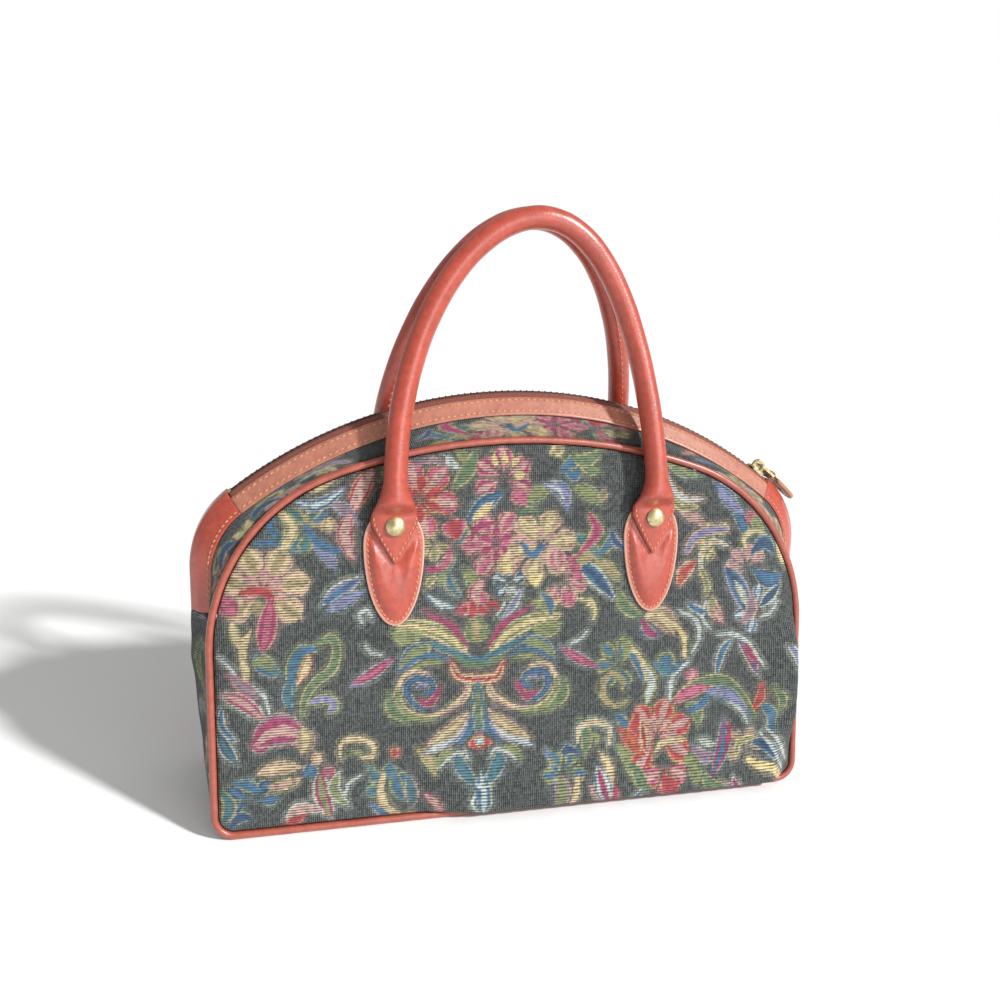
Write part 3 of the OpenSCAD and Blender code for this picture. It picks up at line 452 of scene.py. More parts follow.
# %% strokes of the pattern
DYES = {
    "r": "#a04248", "p": "#a85e72", "o": "#ae8c84", "m": "#92405f", "c": "#b9a884", "t": "#988869",
    "v": "#7c825c", "g": "#607358", "b": "#466884", "d": "#3a4f6a", "l": "#7d7d9c", "w": "#a8b0ac",
    "n": "#ac5c46", "u": "#836f7c", "e": "#486c74", "y": "#bfae7c"}
BOUQUET_X = -30.5
STROKES = """
leaf vt 4.5 84,212 94,200 112,196
leaf ev 4.0 92,222 104,214 118,210
leaf uo 4.0 100,190 112,184 122,178
leaf lb 4.0 128,206 138,198 144,186
leaf tv 3.5 112,222 122,219 130,212
leaf db 4.0 138,190 146,180 150,168
leaf gv 4.0 150,186 158,178 163,168
leaf vg 4.5 60,140 66,128 78,120
leaf bl 4.5 -132,178 -122,170 -116,160
leaf vt 4.0 -140,190 -128,190 -118,186
leaf lu 4.0 -120,200 -110,196 -104,188
leaf gv 3.5 -152,196 -146,206 -136,210
leaf be 4.0 -150,182 -140,176 -128,176
leaf ve 4.0 -100,40 -94,30 -92,18
leaf vt 4.0 -70,48 -62,40 -58,30
leaf lb 3.5 -98,14 -90,8 -82,6
leaf mo 3.0 -66,20 -58,14 -54,6
leaf vg 4.0 34,58 40,46 38,34
leaf tc 3.5 48,36 54,26 52,12
leaf eb 4.0 60,60 66,50 64,40
leaf lb 3.5 12,40 18,32 16,20
leaf uo 4.0 40,20 48,12 58,10
leaf vg 4.5 118,20 126,12 138,10
leaf eb 4.0 160,60 168,50 170,38
leaf lu 4.0 112,34 120,28 130,28
leaf vg 5.0 -46,206 -36,218 -30,230
leaf gv 5.0 30,206 40,202 50,194
leaf ev 5.0 -44,166 -52,158 -54,146
leaf gv 5.0 -2,196 6,202 16,204
leaf vt 4.0 44,160 54,154 62,144
leaf ge 5.0 30,176 40,170 48,160
leaf gv 4.5 -40,158 -34,150 -36,140
leaf gv 4.5 -88,212 -82,222 -74,228
leaf ve 4.5 -44,188 -40,180 -44,172
leaf gv 4.5 60,40 68,30 72,18
leaf vg 4.5 108,62 116,56 118,46
bloom bdw 4.0 -11,148 2,11 20,300 5,0
bloom ctv 3.6 -58,174 2,11 100,330 5,0
bloom oct 8.2 -158,150 5,27 -40,215 6,0
bloom po 4.0 -158,150 2,13 -20,200 5,0
bloom rpo 7.4 -66,201 4,24 -10,280 6,0
bloom nr 4.2 -66,201 2,14 20,330 6,0
bloom pmo 6.4 -14,212 4,19 -25,205 5,0
bloom mop 7.0 -19,172 4,22 0,300 6,0
bloom pm 3.6 -19,172 2,11 30,330 6,0
bloom otc 7.2 10,170 4,23 10,310 6,0
bloom to 3.6 10,170 2,12 40,340 6,0
bloom opo 6.4 22,148 4,19 -120,100 5,0
bloom nro 7.6 88,42 4,25 -30,230 6,0
bloom ro 3.8 88,42 2,14 0,200 5,0
bloom rpo 6.0 93,24 3,15 200,340 3,0
bloom umo 6.4 -150,56 4,18 10,170 5,0
bloom uo 5.0 150,150 3,16 40,220 5,0
bloom tvc 4.4 128,168 3,14 60,240 4,0
bloom lbw 4.6 158,122 3,17 30,250 5,0
bloom vge 4.4 -132,186 3,15 70,260 4,0
bloom vgb 4.6 62,92 3,17 80,290 5,0
bloom edb 4.4 -168,24 3,15 0,200 5,0
bloom ut 4.4 150,30 3,14 10,190 4,0
bloom gvb 4.4 24,26 3,14 0,180 4,0
bloom egb 4.4 -88,26 3,14 20,200 4,0
leaf lbw 4.2 -139,201 -126,199 -110,208
leaf tc 2.2 -134,206 -124,209 -113,215
line vc 3.8 -148,195 -141,187 -144,178 -149,174
line b 2.1 -151,195 -154,187 -150,181
line b 1.7 -162,177 -154,178 -148,176
line b 2.2 -133,187 -128,178 -117,172 -110,174
drop otc 5.2 -120,183 -120,192
leaf b 1.7 -129,189 -125,191 -121,194
leaf ro 5.9 -93,220 -101,207 -105,195
leaf mo 5.2 -107,194 -111,181 -106,166
leaf wlb 5.2 -125,140 -115,147 -102,155
leaf bl 4.5 -123,136 -112,141 -100,147
line w 1.4 -102,127 -103,133 -98,135 -96,130
line r 3.5 -171,149 -164,150 -156,148 -153,141
leaf mp 6.2 -181,147 -178,141 -175,135
disc vt 4.5 -162,140
leaf pmp 5.9 -154,146 -157,127 -160,113
leaf vc 3.5 -177,133 -175,124 -171,115
leaf tc 2.8 -166,127 -171,117 -170,107
leaf dbg 5.9 -164,113 -159,106 -150,98
leaf tc 2.6 -173,114 -170,104 -169,93
leaf gv 3.5 -166,106 -159,108 -151,105
line w 1.2 -186,113 -179,105 -171,95
leaf wmo 5.2 -184,89 -172,84 -158,71
leaf mu 3.8 -180,102 -171,93 -163,85
line w 1.2 -166,94 -159,86 -157,76
line gb 4.5 -129,114 -138,112 -143,102 -143,89
leaf rc 2.9 -133,111 -135,103 -140,93
leaf be 3.5 -145,98 -146,86 -144,76
line vg 3.3 -127,117 -120,120 -117,112 -120,101 -130,93 -136,84 -138,73
line vl 3.5 -133,81 -125,83 -119,79 -122,74
leaf umo 10.7 -167,58 -152,66 -137,61
leaf m 2.1 -168,57 -160,68 -144,71
leaf utc 5.9 -138,67 -136,58 -139,50
line wb 2.4 -184,80 -184,70 -177,61
leaf wde 4.2 -186,67 -182,56 -176,47
leaf toc 4.5 -165,40 -153,43 -138,43
leaf cto 3.5 -159,32 -148,33 -139,36
disc oc 3.8 -130,47
leaf db 4.5 -138,37 -134,40 -131,33
leaf eb 3.8 -179,36 -169,33 -164,28
leaf ve 4.2 -186,32 -181,21 -186,9
leaf bd 3.8 -182,7 -175,14 -168,12
leaf wmv 5.9 -129,39 -127,24 -122,7
leaf wv 4.2 -117,38 -120,26 -111,14
line w 1.2 -104,33 -111,29 -114,19
leaf mp 3.8 -127,36 -123,38 -120,35
leaf wo 3.8 -149,9 -141,16 -125,13
leaf r 3.8 -148,4 -144,8 -137,12
line c 1.7 -116,45 -115,55 -107,57 -97,53 -97,45 -104,45
line v 1.7 -110,49 -105,49 -104,46
disc r 3.1 -83,46
line c 2.6 -90,33 -92,22 -88,11 -77,3
leaf gb 4.2 -84,35 -82,24 -78,14
leaf ue 4.2 -75,32 -73,20 -73,10
line c 1.6 -78,2 -73,6 -72,1
line u 2.4 -69,221 -58,224 -45,219
drop pr 8.0 -46,188 -43,175
drop p 5.9 -7,205 0,195
drop y 2.2 -19,220 -20,227
drop y 2.1 -13,221 -13,228
drop y 2.1 -8,220 -4,225
disc y 3.1 -4,214
leaf w 2.8 -50,227 -46,222 -41,218
leaf v 3.5 -43,230 -39,226 -38,221
leaf bdb 5.5 -37,186 -27,196 -15,204
leaf cy 2.9 -34,187 -28,192 -21,198
leaf bl 5.2 11,208 23,204 27,191
line w 1.2 14,207 21,204 24,198
leaf gb 4.5 23,216 30,221 37,221
leaf b 3.1 23,219 31,212 35,217
leaf vg 3.8 33,227 40,217 49,214
drop ov 3.5 50,197 50,204
disc oc 6.2 -13,159
leaf m 2.1 -35,175 -30,183 -17,186
leaf y 3.5 -13,165 -12,158 -9,154
drop yc 3.5 4,177 5,187
line b 2.2 -3,172 4,164 11,170
leaf g 2.4 -4,190 2,193 9,191
leaf vpm 4.5 40,190 46,177 33,162
leaf gb 3.8 57,178 55,170 46,161
leaf wbd 5.9 33,159 44,150 58,134
leaf mp 3.8 26,163 32,155 35,145
drop mp 4.5 26,140 30,131
drop y 4.2 2,147 11,152
line vc 2.4 35,135 43,132 44,123
disc d 2.4 43,122
disc w 2.8 -10,143
line w 1.0 -13,136 -19,127
leaf p 2.8 -48,172 -50,162 -58,156
leaf m 2.1 -64,158 -58,158 -53,157
leaf cv 2.6 -63,146 -60,151 -56,153
leaf bvb 4.2 -49,156 -47,147 -41,140
leaf bw 2.8 -62,143 -54,136 -45,134
leaf mo 5.2 -27,150 -32,142 -27,133
leaf p 3.5 -28,143 -27,138 -29,131
leaf v 3.1 2,135 13,131 18,124
line2 cvc 5.2 -39,105 -48,115 -62,122 -81,125
line2 cy 1.6 -37,103 -45,112 -57,120 -72,124
leaf2 m 2.1 -36,107 -47,122 -65,133
line2 be 2.9 -30,99 -44,105 -57,111 -65,113
leaf2 v 5.2 -64,118 -75,117 -84,120
leaf2 bv 5.9 -59,111 -70,107 -80,98
line2 b 1.5 -49,101 -59,105 -70,103 -80,96
line2 bdb 2.9 -58,73 -67,73 -74,79 -75,87 -69,91 -61,89 -59,83 -64,81
line2 v 1.6 -53,100 -62,101 -72,97
line2 ucc 2.3 -36,88 -42,76 -53,69 -66,67 -76,72 -81,82 -78,92 -71,96 -62,94
line2 l 1.0 -69,86 -66,88 -63,86
leaf2 m 2.8 -68,78 -61,75 -54,86
line2 v 2.1 -81,86 -80,75 -71,67 -58,65
leaf2 cc 2.6 -35,88 -40,77 -52,70
line2 o 0.9 -37,84 -42,74 -52,68
leaf2 lw 5.2 -37,69 -46,55 -65,43
leaf2 otc 4.2 -37,68 -47,58 -64,48
leaf2 b 2.2 -31,69 -36,57 -44,47
leaf2 be 4.5 -44,44 -42,34 -32,23
line2 w 1.0 -44,41 -40,43 -37,38
line2 w 1.0 -33,23 -36,16 -32,10
leaf2 lmp 3.8 -83,105 -95,97 -109,90
line2 w 1.2 -101,114 -96,109 -90,107
leaf2 vg 4.2 -87,84 -84,73 -74,64
leaf2 r 2.2 -35,133 -39,135 -44,131
leaf2 gv 3.5 -58,36 -51,42 -44,43
line2 w 1.0 -55,35 -48,41 -41,44
line g 2.1 -46,104 -39,99 -31,97 -22,98 -14,102
line rcr 3.3 -48,100 -43,91 -31,88 -19,89 -15,98
drop gvt 7.6 -31,111 -33,130
leaf pr 4.5 -44,131 -34,133 -23,130
leaf r 3.5 -34,127 -34,133 -35,137
line be 4.3 -31,85 -31,72 -30,54
leaf vg 2.4 -31,83 -31,69 -30,55
drop rr 7.3 -30,44 -30,54
disc c 3.5 -30,49
disc ew 3.1 -30,49
leaf ebw 5.5 -30,31 -29,21 -29,8
line w 1.0 -34,26 -29,23 -24,25
line ow 2.8 92,215 97,203 106,196 118,196
line cv 2.4 95,198 103,191 114,191
leaf bl 4.5 129,203 137,194 149,184
leaf eb 3.8 117,222 129,220 140,215
leaf mp 2.8 150,179 152,183 157,186
line vc 2.3 149,163 148,169 155,174 165,171
leaf bd 5.2 153,159 163,166 171,159
leaf vc 3.8 173,166 177,158 179,149
leaf db 6.3 155,148 167,141 177,144
leaf wd 4.5 160,123 168,130 175,137
line w 1.2 160,116 168,119 174,126
line ol 3.5 107,161 112,170 122,175 136,176
line wc 2.4 117,147 118,161 126,168 136,165
leaf on 5.2 102,140 106,149 114,156
leaf r 2.6 105,147 108,151 112,152
line cv 2.3 118,150 122,139 121,132
leaf lbd 6.6 135,151 145,136 152,118
leaf vw 2.8 141,142 147,133 152,122
leaf ov 4.9 125,132 127,123 133,114
leaf mo 3.1 127,125 130,119 134,114
leaf ou 4.5 147,113 154,121 154,134
line w 1.4 121,129 119,118 125,110
leaf otc 7.0 78,122 91,120 99,109
leaf bm 3.8 76,121 82,111 89,108
line cy 1.9 98,117 106,106 107,92
line w 1.6 102,124 113,118 117,107 112,95
leaf wb 3.1 108,128 115,124 123,121
line w 1.6 110,90 99,80 97,64
leaf wb 3.1 140,104 133,94 129,76
line w 1.6 129,106 141,106 153,98 163,83
leaf wmb 4.2 145,102 153,92 159,77
leaf m 2.4 149,98 155,90 159,85
leaf wl 3.1 177,96 181,91 183,81
disc gb 6.3 94,91
leaf be 4.2 86,90 95,85 105,88
drop mpo 4.9 114,84 110,75
line vg 4.5 99,63 114,73 134,75 148,63 156,50
leaf mp 4.5 99,63 111,69 126,72
leaf bl 4.9 122,69 138,66 154,50
leaf b 3.5 109,56 119,60 126,67
line w 1.4 140,60 148,54 152,46
leaf nr 3.1 162,72 161,62 156,54
leaf vg 2.8 169,69 174,60 173,50
line vt 2.4 68,67 60,64 52,69 51,80 58,85 65,80 64,74
line vw 4.5 67,102 76,90 84,79 81,65
leaf b 3.5 69,98 76,89 79,78
line cy 1.6 71,102 77,92 81,79
leaf v 3.5 63,109 67,102 65,93
leaf nr 5.2 75,59 73,46 79,31
leaf rn 4.5 62,50 70,41 77,30
leaf rcr 4.2 77,53 79,42 80,33
line c 2.1 87,33 93,38 106,38
leaf rr 6.3 91,21 96,13 100,8
leaf gv 5.2 106,28 113,24 114,13
leaf g 4.2 70,28 75,20 79,13
line wc 2.3 34,43 35,51 44,55 55,50 55,40
line v 1.8 40,45 46,46 47,41
leaf bmb 4.9 135,50 135,35 125,17
leaf m 2.4 139,47 139,40 136,31
leaf w 2.4 117,38 123,35 129,34
line cv 2.4 143,27 145,34 153,36 161,33
line cy 2.6 152,24 161,20 171,18 178,8
leaf bd 4.2 156,33 167,30 177,20
line w 1.2 162,38 171,28 179,14
line w 1.2 166,41 175,31 183,17
leaf ou 4.5 135,13 141,8 145,0
leaf wm 3.1 140,16 144,8 141,1
line cv 2.4 149,0 159,2 171,2
leaf e 2.8 130,0 141,-3 154,-7
line c 2.3 33,24 31,16 28,7
leaf uv 5.9 20,26 22,17 18,8
leaf bwm 5.9 46,29 50,17 55,4
leaf rm 3.1 57,18 58,11 55,3
leaf wb 3.1 76,15 72,8 66,3
leaf bd 3.5 24,36 27,39 35,37
line w 1.4 76,1 91,0 102,-3
leaf vct 5.2 16,227 21,229 26,230
leaf vg 4.5 30,225 39,222 51,228
leaf ld 3.1 64,166 59,170 55,177
line vc 1.9 39,131 45,128 44,121
leaf vb 3.8 9,141 15,134 16,126
leaf wl 2.8 -3,144 -8,134 -15,126
leaf vt 3.5 45,164 39,161 34,156
"""


def spine(points, count):
    """Catmull-Rom curve: each span bends so that it leaves its points along their neighbours' chord."""
    if len(points) == 1:
        return np.repeat(points, 2, axis=0)
    p = np.vstack([2 * points[0] - points[1], points, 2 * points[-1] - points[-2]])
    u = np.linspace(0, len(points) - 1 - 1e-9, count)
    i = u.astype(int)
    t = (u - i)[:, None]
    a, b, c, d = (p[i + k] for k in range(4))
    return b + 0.5 * t * (c - a + t * (2 * a - 5 * b + 4 * c - d + t * (3 * (b - c) + d - a)))


def petal_spines(centre, reach, turn, count):
    """Spines of a bloom's petals: from the inner to the outer reach, spread evenly over the turn."""
    a = np.radians(np.linspace(*turn, int(count[0])))
    way = np.stack([np.cos(a), np.sin(a)], -1)
    return [centre + np.array([[reach[0]], [reach.mean()], [reach[1]]]) * one for one in way]


SPINE_STEPS, THINNEST = 48, 0.4
SHAPES = {"leaf": (1.0, 0.7), "drop": (0.6, 0.8), "bloom": (1.6, 0.7)}


def width_share(kind, t):
    """Share of the half width at t: sin(pi t^a)^b for a leaf, a drop or a petal, all of it for a disc,
    and for a line 0.4 + 0.6 sin(pi t)^0.6, which tapers to two fifths at its ends."""
    if kind in SHAPES:
        skew, blunt = SHAPES[kind]
        return np.sin(pi * t ** skew) ** blunt
    return 1 + 0 * t if kind == "disc" else 0.4 + 0.6 * np.sin(pi * t) ** 0.6


def read_strokes():
    """Each line as (spine, half widths, dyes), and once more as its mirror image after a 2."""
    strokes = []
    for row in STROKES.strip().split("\n"):
        kind, dyes, half, *pairs = row.split()
        points = np.array([[float(v) for v in pair.split(",")] for pair in pairs])
        colours = np.array([linear(DYES[d])[:3] for d in dyes])
        for turn in ((1, -1) if kind.endswith("2") else (1,)):
            for part in petal_spines(*points) if kind == "bloom" else [points]:
                line = spine(part * [turn, 1] + [BOUQUET_X * (1 - turn), 0], SPINE_STEPS)
                width = float(half) * width_share(kind.rstrip("2"), np.linspace(0, 1, len(line)))
                strokes.append((line, np.maximum(width, THINNEST), colours))
    return strokes


strokes = read_strokes()
print(len(strokes), "strokes in the pattern")


# %% [markdown]
# ### The weaver
# A loom picks, for each thread, the colour that shows. So does this function, for any place of the
# flat cloth, and every wall of the bag asks it for its colours. An image could do the same, but
# strokes stay sharp at any size and can be changed by hand.

# %% colour at any place of the flat cloth
BANDS = {1: [], 2: [0.6], 3: [0.72, 0.35]}
SURROUND_MM, SURROUND_SHARE = 2.6, 0.4
RIM_MM, RIM_SHARE, RIM_FROM_MM = 0.8, 0.6, 2.2
TAUPE, KHAKI = np.array(linear("#6f705f")[:3]), np.array(linear("#b0a67c")[:3])


def weave_colour(flat):
    """Colour and share of floats at flat places: ground, then soft surrounds, then the strokes.

    A place is inside a stroke if its distance to the nearest spine point is under the half width
    there. That share of the half width picks the dye, from outline to heart, and a thin khaki rim
    goes round the wider strokes."""
    places = flat.reshape(-1, 2)
    cloth = np.tile(linear(GROUND, 0.0), (len(places), 1))
    for grow in (SURROUND_MM, 0.0):
        for line, half, dyes in strokes:
            width = half + grow
            low, high = line.min(0) - width.max(), line.max(0) + width.max()
            near = np.flatnonzero(((places > low) & (places < high)).all(axis=1))
            if not near.size:
                continue
            gap = np.linalg.norm(places[near, None] - line[None], axis=2)
            at = gap.argmin(axis=1)
            share = gap.min(axis=1) / width[at]
            near, wide, share = near[share < 1], width[at][share < 1], share[share < 1]
            if grow:
                around = SURROUND_SHARE * dyes[0] + (1 - SURROUND_SHARE) * TAUPE
                cloth[near] = (*around, SURROUND_SHARE)
                continue
            pick = sum((share < edge).astype(int) for edge in BANDS[len(dyes)])
            rim = ((share > 1 - RIM_MM / wide) & (wide > RIM_FROM_MM))[:, None] * RIM_SHARE
            cloth[near, :3] = dyes[pick] * (1 - rim) + KHAKI * rim
            cloth[near, 3] = 1.0
    return cloth.reshape(*flat.shape[:-1], 4)


print("the weaver has", len(DYES), "dyes")

# %% [markdown]
# ## Front and back panels
# A panel is one piece of stiffened tapestry with a domed top. It is a grid: columns across, and rows
# from the bottom seam to the top seam of each column. It swells between the seams, and years of use
# show: the belly hangs over the bottom seam, the right side rolls over its piping, and soft folds
# run out of the lower corners. Vertex moves in code make these, because each fold has its own place.

# %% panel surface
def seam_top(x):
    """Height of the top seam at x: the crown's arc in the middle, a shoulder's arc at each side."""
    crown, shoulder = CROWN_R - PANEL_INSET, SHOULDER_R - PANEL_INSET
    middle = CROWN_S + np.sqrt(np.maximum(crown ** 2 - x ** 2, 0))
    side = SHOULDER_S + np.sqrt(np.maximum(shoulder ** 2 - (abs(x) - SHOULDER_X) ** 2, 0))
    return np.where(abs(x) < crown * sin(CROWN_ANGLE), middle, side)


def seam_foot(x):
    """Height of the bottom seam at x: straight, with a small arc at each corner."""
    corner = CORNER_R - PANEL_INSET
    past = np.maximum(abs(x) - (HALF_W - CORNER_R), 0)
    return SEAM_BOTTOM + CORNER_R - np.sqrt(np.maximum(corner ** 2 - past ** 2, 0))


def bulge(d, reach):
    """A roll beside a seam: 0 at the seam, 1 at the reach, and fading beyond: d/r e^(1 - d/r)."""
    return d / reach * np.exp(1 - d / reach)


def fold(x, s, start, end, width):
    """A soft ridge along a line: a bell across it, and another bell along it."""
    start, end = np.array(start), np.array(end)
    way = (end - start) / np.linalg.norm(end - start)
    along = (x - start[0]) * way[0] + (s - start[1]) * way[1]
    across = (s - start[1]) * way[0] - (x - start[0]) * way[1]
    half = np.linalg.norm(end - start) / 2
    return np.exp(-(across / width) ** 2 - ((along - half) / half) ** 4)


# Each fold: where it starts and ends on the flat panel, its half width, and its height or depth.
FRONT_FOLDS = [
    ((-172, 20), (-120, 52), 6.0, 1.8), ((-150, 14), (-95, 34), 5.0, -1.5),
    ((-132, 30), (-88, 66), 6.0, 1.3), ((150, 20), (186, 62), 4.5, -3.2),
    ((128, 18), (172, 60), 7.0, 2.2), ((-60, 18), (60, 24), 9.0, 1.2),
    ((96, 120), (150, 96), 14.0, 0.9), ((-150, 150), (-120, 100), 14.0, 0.8)]
SIDE_EASE, LOW_EASE, TOP_EASE = 11, 9, 11
PUCKER, PUCKER_REACH, PUCKER_PITCH = 0.9, 7, 11
HANG_OUT, HANG_OUT_REACH, HANG_DOWN, HANG_DOWN_REACH = 7.5, 8, 6.0, 7
HANG_FROM, HANG_TO = -85, 186
ROLL, ROLL_REACH, ROLL_S, ROLL_HALF = 5.5, 6, 72, 40


def panel_piece(name, node, used, columns, rows):
    """A panel as a grid of columns and rows, closed behind by a fan to one point inside."""
    u = np.linspace(-1, 1, columns)
    reach = HALF_W - PANEL_INSET
    x = reach * (u + 0.35 * (np.sin(pi * u / 2) - u))[:, None]
    foot, top = seam_foot(x), seam_top(x)
    s = foot + (top - foot) * np.linspace(0, 1, rows)[None, :]
    x = np.broadcast_to(x, s.shape)
    side, low, high = reach - abs(x), s - foot, top - s
    rise = [1 - np.exp(-side / SIDE_EASE), 1 - np.exp(-low / LOW_EASE), 1 - np.exp(-high / TOP_EASE)]
    swell = rise[0] * rise[1] * rise[2]
    to_seam = np.minimum(np.minimum(side, low), high)
    n = WALL / 2 * ease(to_seam / 2) + BELLY * swell
    pucker = np.exp(-to_seam / PUCKER_REACH) * swell
    n = n + PUCKER * pucker * np.sin(2 * pi * (x + s) / PUCKER_PITCH)
    move_x, move_s = np.zeros_like(s), np.zeros_like(s)
    flat = np.stack([x, s], -1)
    if used:
        hang = ease((x - HANG_FROM) / 60) * ease((HANG_TO - x) / 16)
        roll = np.exp(-((s - ROLL_S) / ROLL_HALF) ** 4)
        n = n + HANG_OUT * hang * bulge(low, HANG_OUT_REACH) + ROLL * roll * bulge(reach - x, ROLL_REACH)
        move_s = -HANG_DOWN * hang * bulge(low, HANG_DOWN_REACH)
        move_x = ROLL * roll * bulge(reach - x, ROLL_REACH)
        for start, end, width, height in FRONT_FOLDS:
            n = n + height * swell * fold(x, s, start, end, width)
    points = on_front(x + move_x, s + move_s, n).reshape(-1, 3)
    number = np.arange(columns * rows).reshape(columns, rows)
    quads = np.stack([number[:-1, :-1], number[1:, :-1], number[1:, 1:], number[:-1, 1:]], -1)
    quads = quads.reshape(-1, 4)
    rim = np.concatenate([number[:-1, 0], number[-1, :-1], number[:0:-1, -1], number[0, :0:-1]])
    heart = np.full(len(rim), len(points))
    fan = np.stack([np.roll(rim, -1), rim, heart], -1)
    points = np.vstack([points, on_front(0.0, PANEL_H * 0.45, -WALL)[None]])
    colour = weave_colour(flat)
    if not used:
        points = to_back(points)
    flat = np.vstack([flat.reshape(-1, 2), [[0, 0]]])
    colour = np.vstack([colour.reshape(-1, 4), colour[0, :1]])
    piece = make_piece(name, points, [quads, fan], tapestry, slot="tapestry", nodes=[node],
                       weave=flat, colour=colour)
    return piece


panel_piece("front_tapestry", "front_panel", True, int(391 * FINE), int(217 * FINE))
panel_piece("back_tapestry", "back_panel", False, int(301 * FINE), int(167 * FINE))

# %% [markdown]
# ## Piping
# A cord wrapped in thin leather is sewn into the seam all round each panel. It is a small circle
# carried along the panel's outline, which is drawn from the same arcs as the panel. A curve with a
# bevel makes such a cord too. An array of rings keeps it on the seam and lets it vary by a hair.

# %% piping
def arc(x, y, r, start, end, count=60):
    """Points of an arc by angle from upright, clockwise."""
    a = np.linspace(start, end, count)
    return np.stack([x + r * np.sin(a), y + r * np.cos(a)], -1)


PIPING_SIDES = 14


def piping_piece(name, node, turn):
    """A circle of the piping's radius, carried round the outline, uneven by a hair along its run."""
    half = np.vstack([
        arc(0, CROWN_S, CROWN_R, 0, CROWN_ANGLE),
        arc(SHOULDER_X, SHOULDER_S, SHOULDER_R, CROWN_ANGLE, pi / 2),
        arc(HALF_W - CORNER_R, SEAM_BOTTOM + CORNER_R, CORNER_R, pi / 2, pi)])
    path = resample(np.vstack([half, half[::-1] * [-1, 1]])[:-1], int(520 * FINE), closed=True)
    way = loop_way(path)
    b = 2 * pi * np.arange(PIPING_SIDES) / PIPING_SIDES
    run = np.arange(len(path))[:, None] / len(path)
    r = PIPING_R * (0.97 + 0.03 * np.sin(2 * pi * 61 * run) * np.sin(2 * pi * 17 * run))
    x = path[:, :1] - way[:, 1:] * r * np.cos(b)
    s = path[:, 1:] + way[:, :1] * r * np.cos(b)
    rings = turn(on_front(x, s, r * np.sin(b)))
    return make_piece(name, *loft(rings, loop=True), piping_leather, nodes=[node])


for end, turn in FRONT_AND_BACK:
    piping_piece(end + "_piping_cord", end + "_piping", turn)

# %% [markdown]
# ## The line of the zip
# The zip runs over the dome on one long arc. At each end it turns down on a small arc and drops
# straight to the side gusset. Everything on top of the bag follows this line: tapes, teeth, trims,
# end patches and the two tapestry strips that join the panels to the trims.

# %% ridge of the bag
ZIP_END_RISE, ZIP_END_TURN = 20.0, radians(48)
RIDGE_RISE, SIDE_RISE = 26.5, 9.0
ZIP_END_X = SHOULDER_X + (SHOULDER_R + ZIP_END_RISE) * sin(ZIP_END_TURN)
ZIP_END_Z = SHOULDER_S + (SHOULDER_R + ZIP_END_RISE) * cos(ZIP_END_TURN)
RIDGE_Z = PANEL_H * cos(LEAN) + RIDGE_RISE
ZIP_FALL = RIDGE_Z - ZIP_END_Z
ZIP_R = (ZIP_END_X ** 2 + ZIP_FALL ** 2) / (2 * ZIP_FALL)
ZIP_ANGLE = asin(ZIP_END_X / ZIP_R)
SIDE_X = HALF_W + SIDE_RISE
END_R = (SIDE_X - ZIP_END_X) / (1 - sin(ZIP_ANGLE))
END_X = ZIP_END_X - END_R * sin(ZIP_ANGLE)
END_Z = ZIP_END_Z - END_R * cos(ZIP_ANGLE)
ZIP_L = ZIP_R * ZIP_ANGLE
END_L = END_R * (pi / 2 - ZIP_ANGLE)
RIDGE_L = ZIP_L + END_L + END_Z - SPLIT_Z


def ridge(d, out, y):
    """Place at run d from the middle of the zip, out from its line and y across the bag."""
    d, out, y = np.broadcast_arrays(d, out, y)
    run, way = abs(d), np.sign(d)
    a = np.where(run < ZIP_L, run / ZIP_R, np.minimum(ZIP_ANGLE + (run - ZIP_L) / END_R, pi / 2))
    drop = np.maximum(run - ZIP_L - END_L, 0)
    on_arc = run < ZIP_L
    r = np.where(on_arc, ZIP_R, END_R) + out
    x = np.where(on_arc, 0, END_X) + r * np.sin(a)
    z = np.where(on_arc, RIDGE_Z - ZIP_R, END_Z) + r * np.cos(a) - drop
    return np.stack([way * x, y, z], -1)


def ridge_up(d):
    """Direction out of the zip's line at run d."""
    return unit(ridge(d, 1.0, 0.0) - ridge(d, 0.0, 0.0))


def ridge_along(d):
    """Direction along the zip's line at run d."""
    return unit(ridge(d + 0.5, 0.0, 0.0) - ridge(d - 0.5, 0.0, 0.0))


def band(middle, thick, steps=4):
    """Closed outline round a flat strip's middle line: offset by half the thickness, round ends."""
    way = unit(np.gradient(middle, axis=0))
    across = np.stack([-way[:, 1], way[:, 0]], -1)
    a = np.linspace(pi / 2, -pi / 2, steps + 2)[1:-1, None]
    ends = [middle[k] + thick / 2 * (sign * way[k] * np.cos(a) + sign * across[k] * np.sin(a))
            for k, sign in ((-1, 1), (0, -1))]
    return np.vstack([middle + across * thick / 2, ends[0], (middle - across * thick / 2)[::-1], ends[1]])


print("half the zip is", round(ZIP_L, 1), "mm; to the side gusset", round(RIDGE_L, 1), "mm")

# %% [markdown]
# ## Tapestry strips, side gussets and base
# The walls between the panels are cut from the same cloth. Each is a closed wall: an outer surface
# and an inner one two millimetres behind it, joined round the edges. A ring goes once round the wall,
# out along the outer face and back along the inner one, and the rings are skinned along the strip.

# %% wall helper
def wall_piece(name, node, outer, face, flat, turn):
    """A cloth wall from a grid of outer places: the inner face lies one wall thickness behind."""
    inner = outer - face * WALL
    rings = np.concatenate([outer, inner[:, ::-1]], axis=1)
    cloth = np.concatenate([flat, flat[:, ::-1]], axis=1)
    piece = make_piece(name, *loft(turn(rings)), tapestry, slot="tapestry", nodes=[node],
                       weave=with_ends(cloth), colour=with_ends(weave_colour(cloth)))
    return piece


def grid_normals(outer):
    """Cross product of the two directions of a grid, at each of its places."""
    return unit(np.cross(np.gradient(outer, axis=0), np.gradient(outer, axis=1)))


print("cloth walls are", WALL, "mm thick")

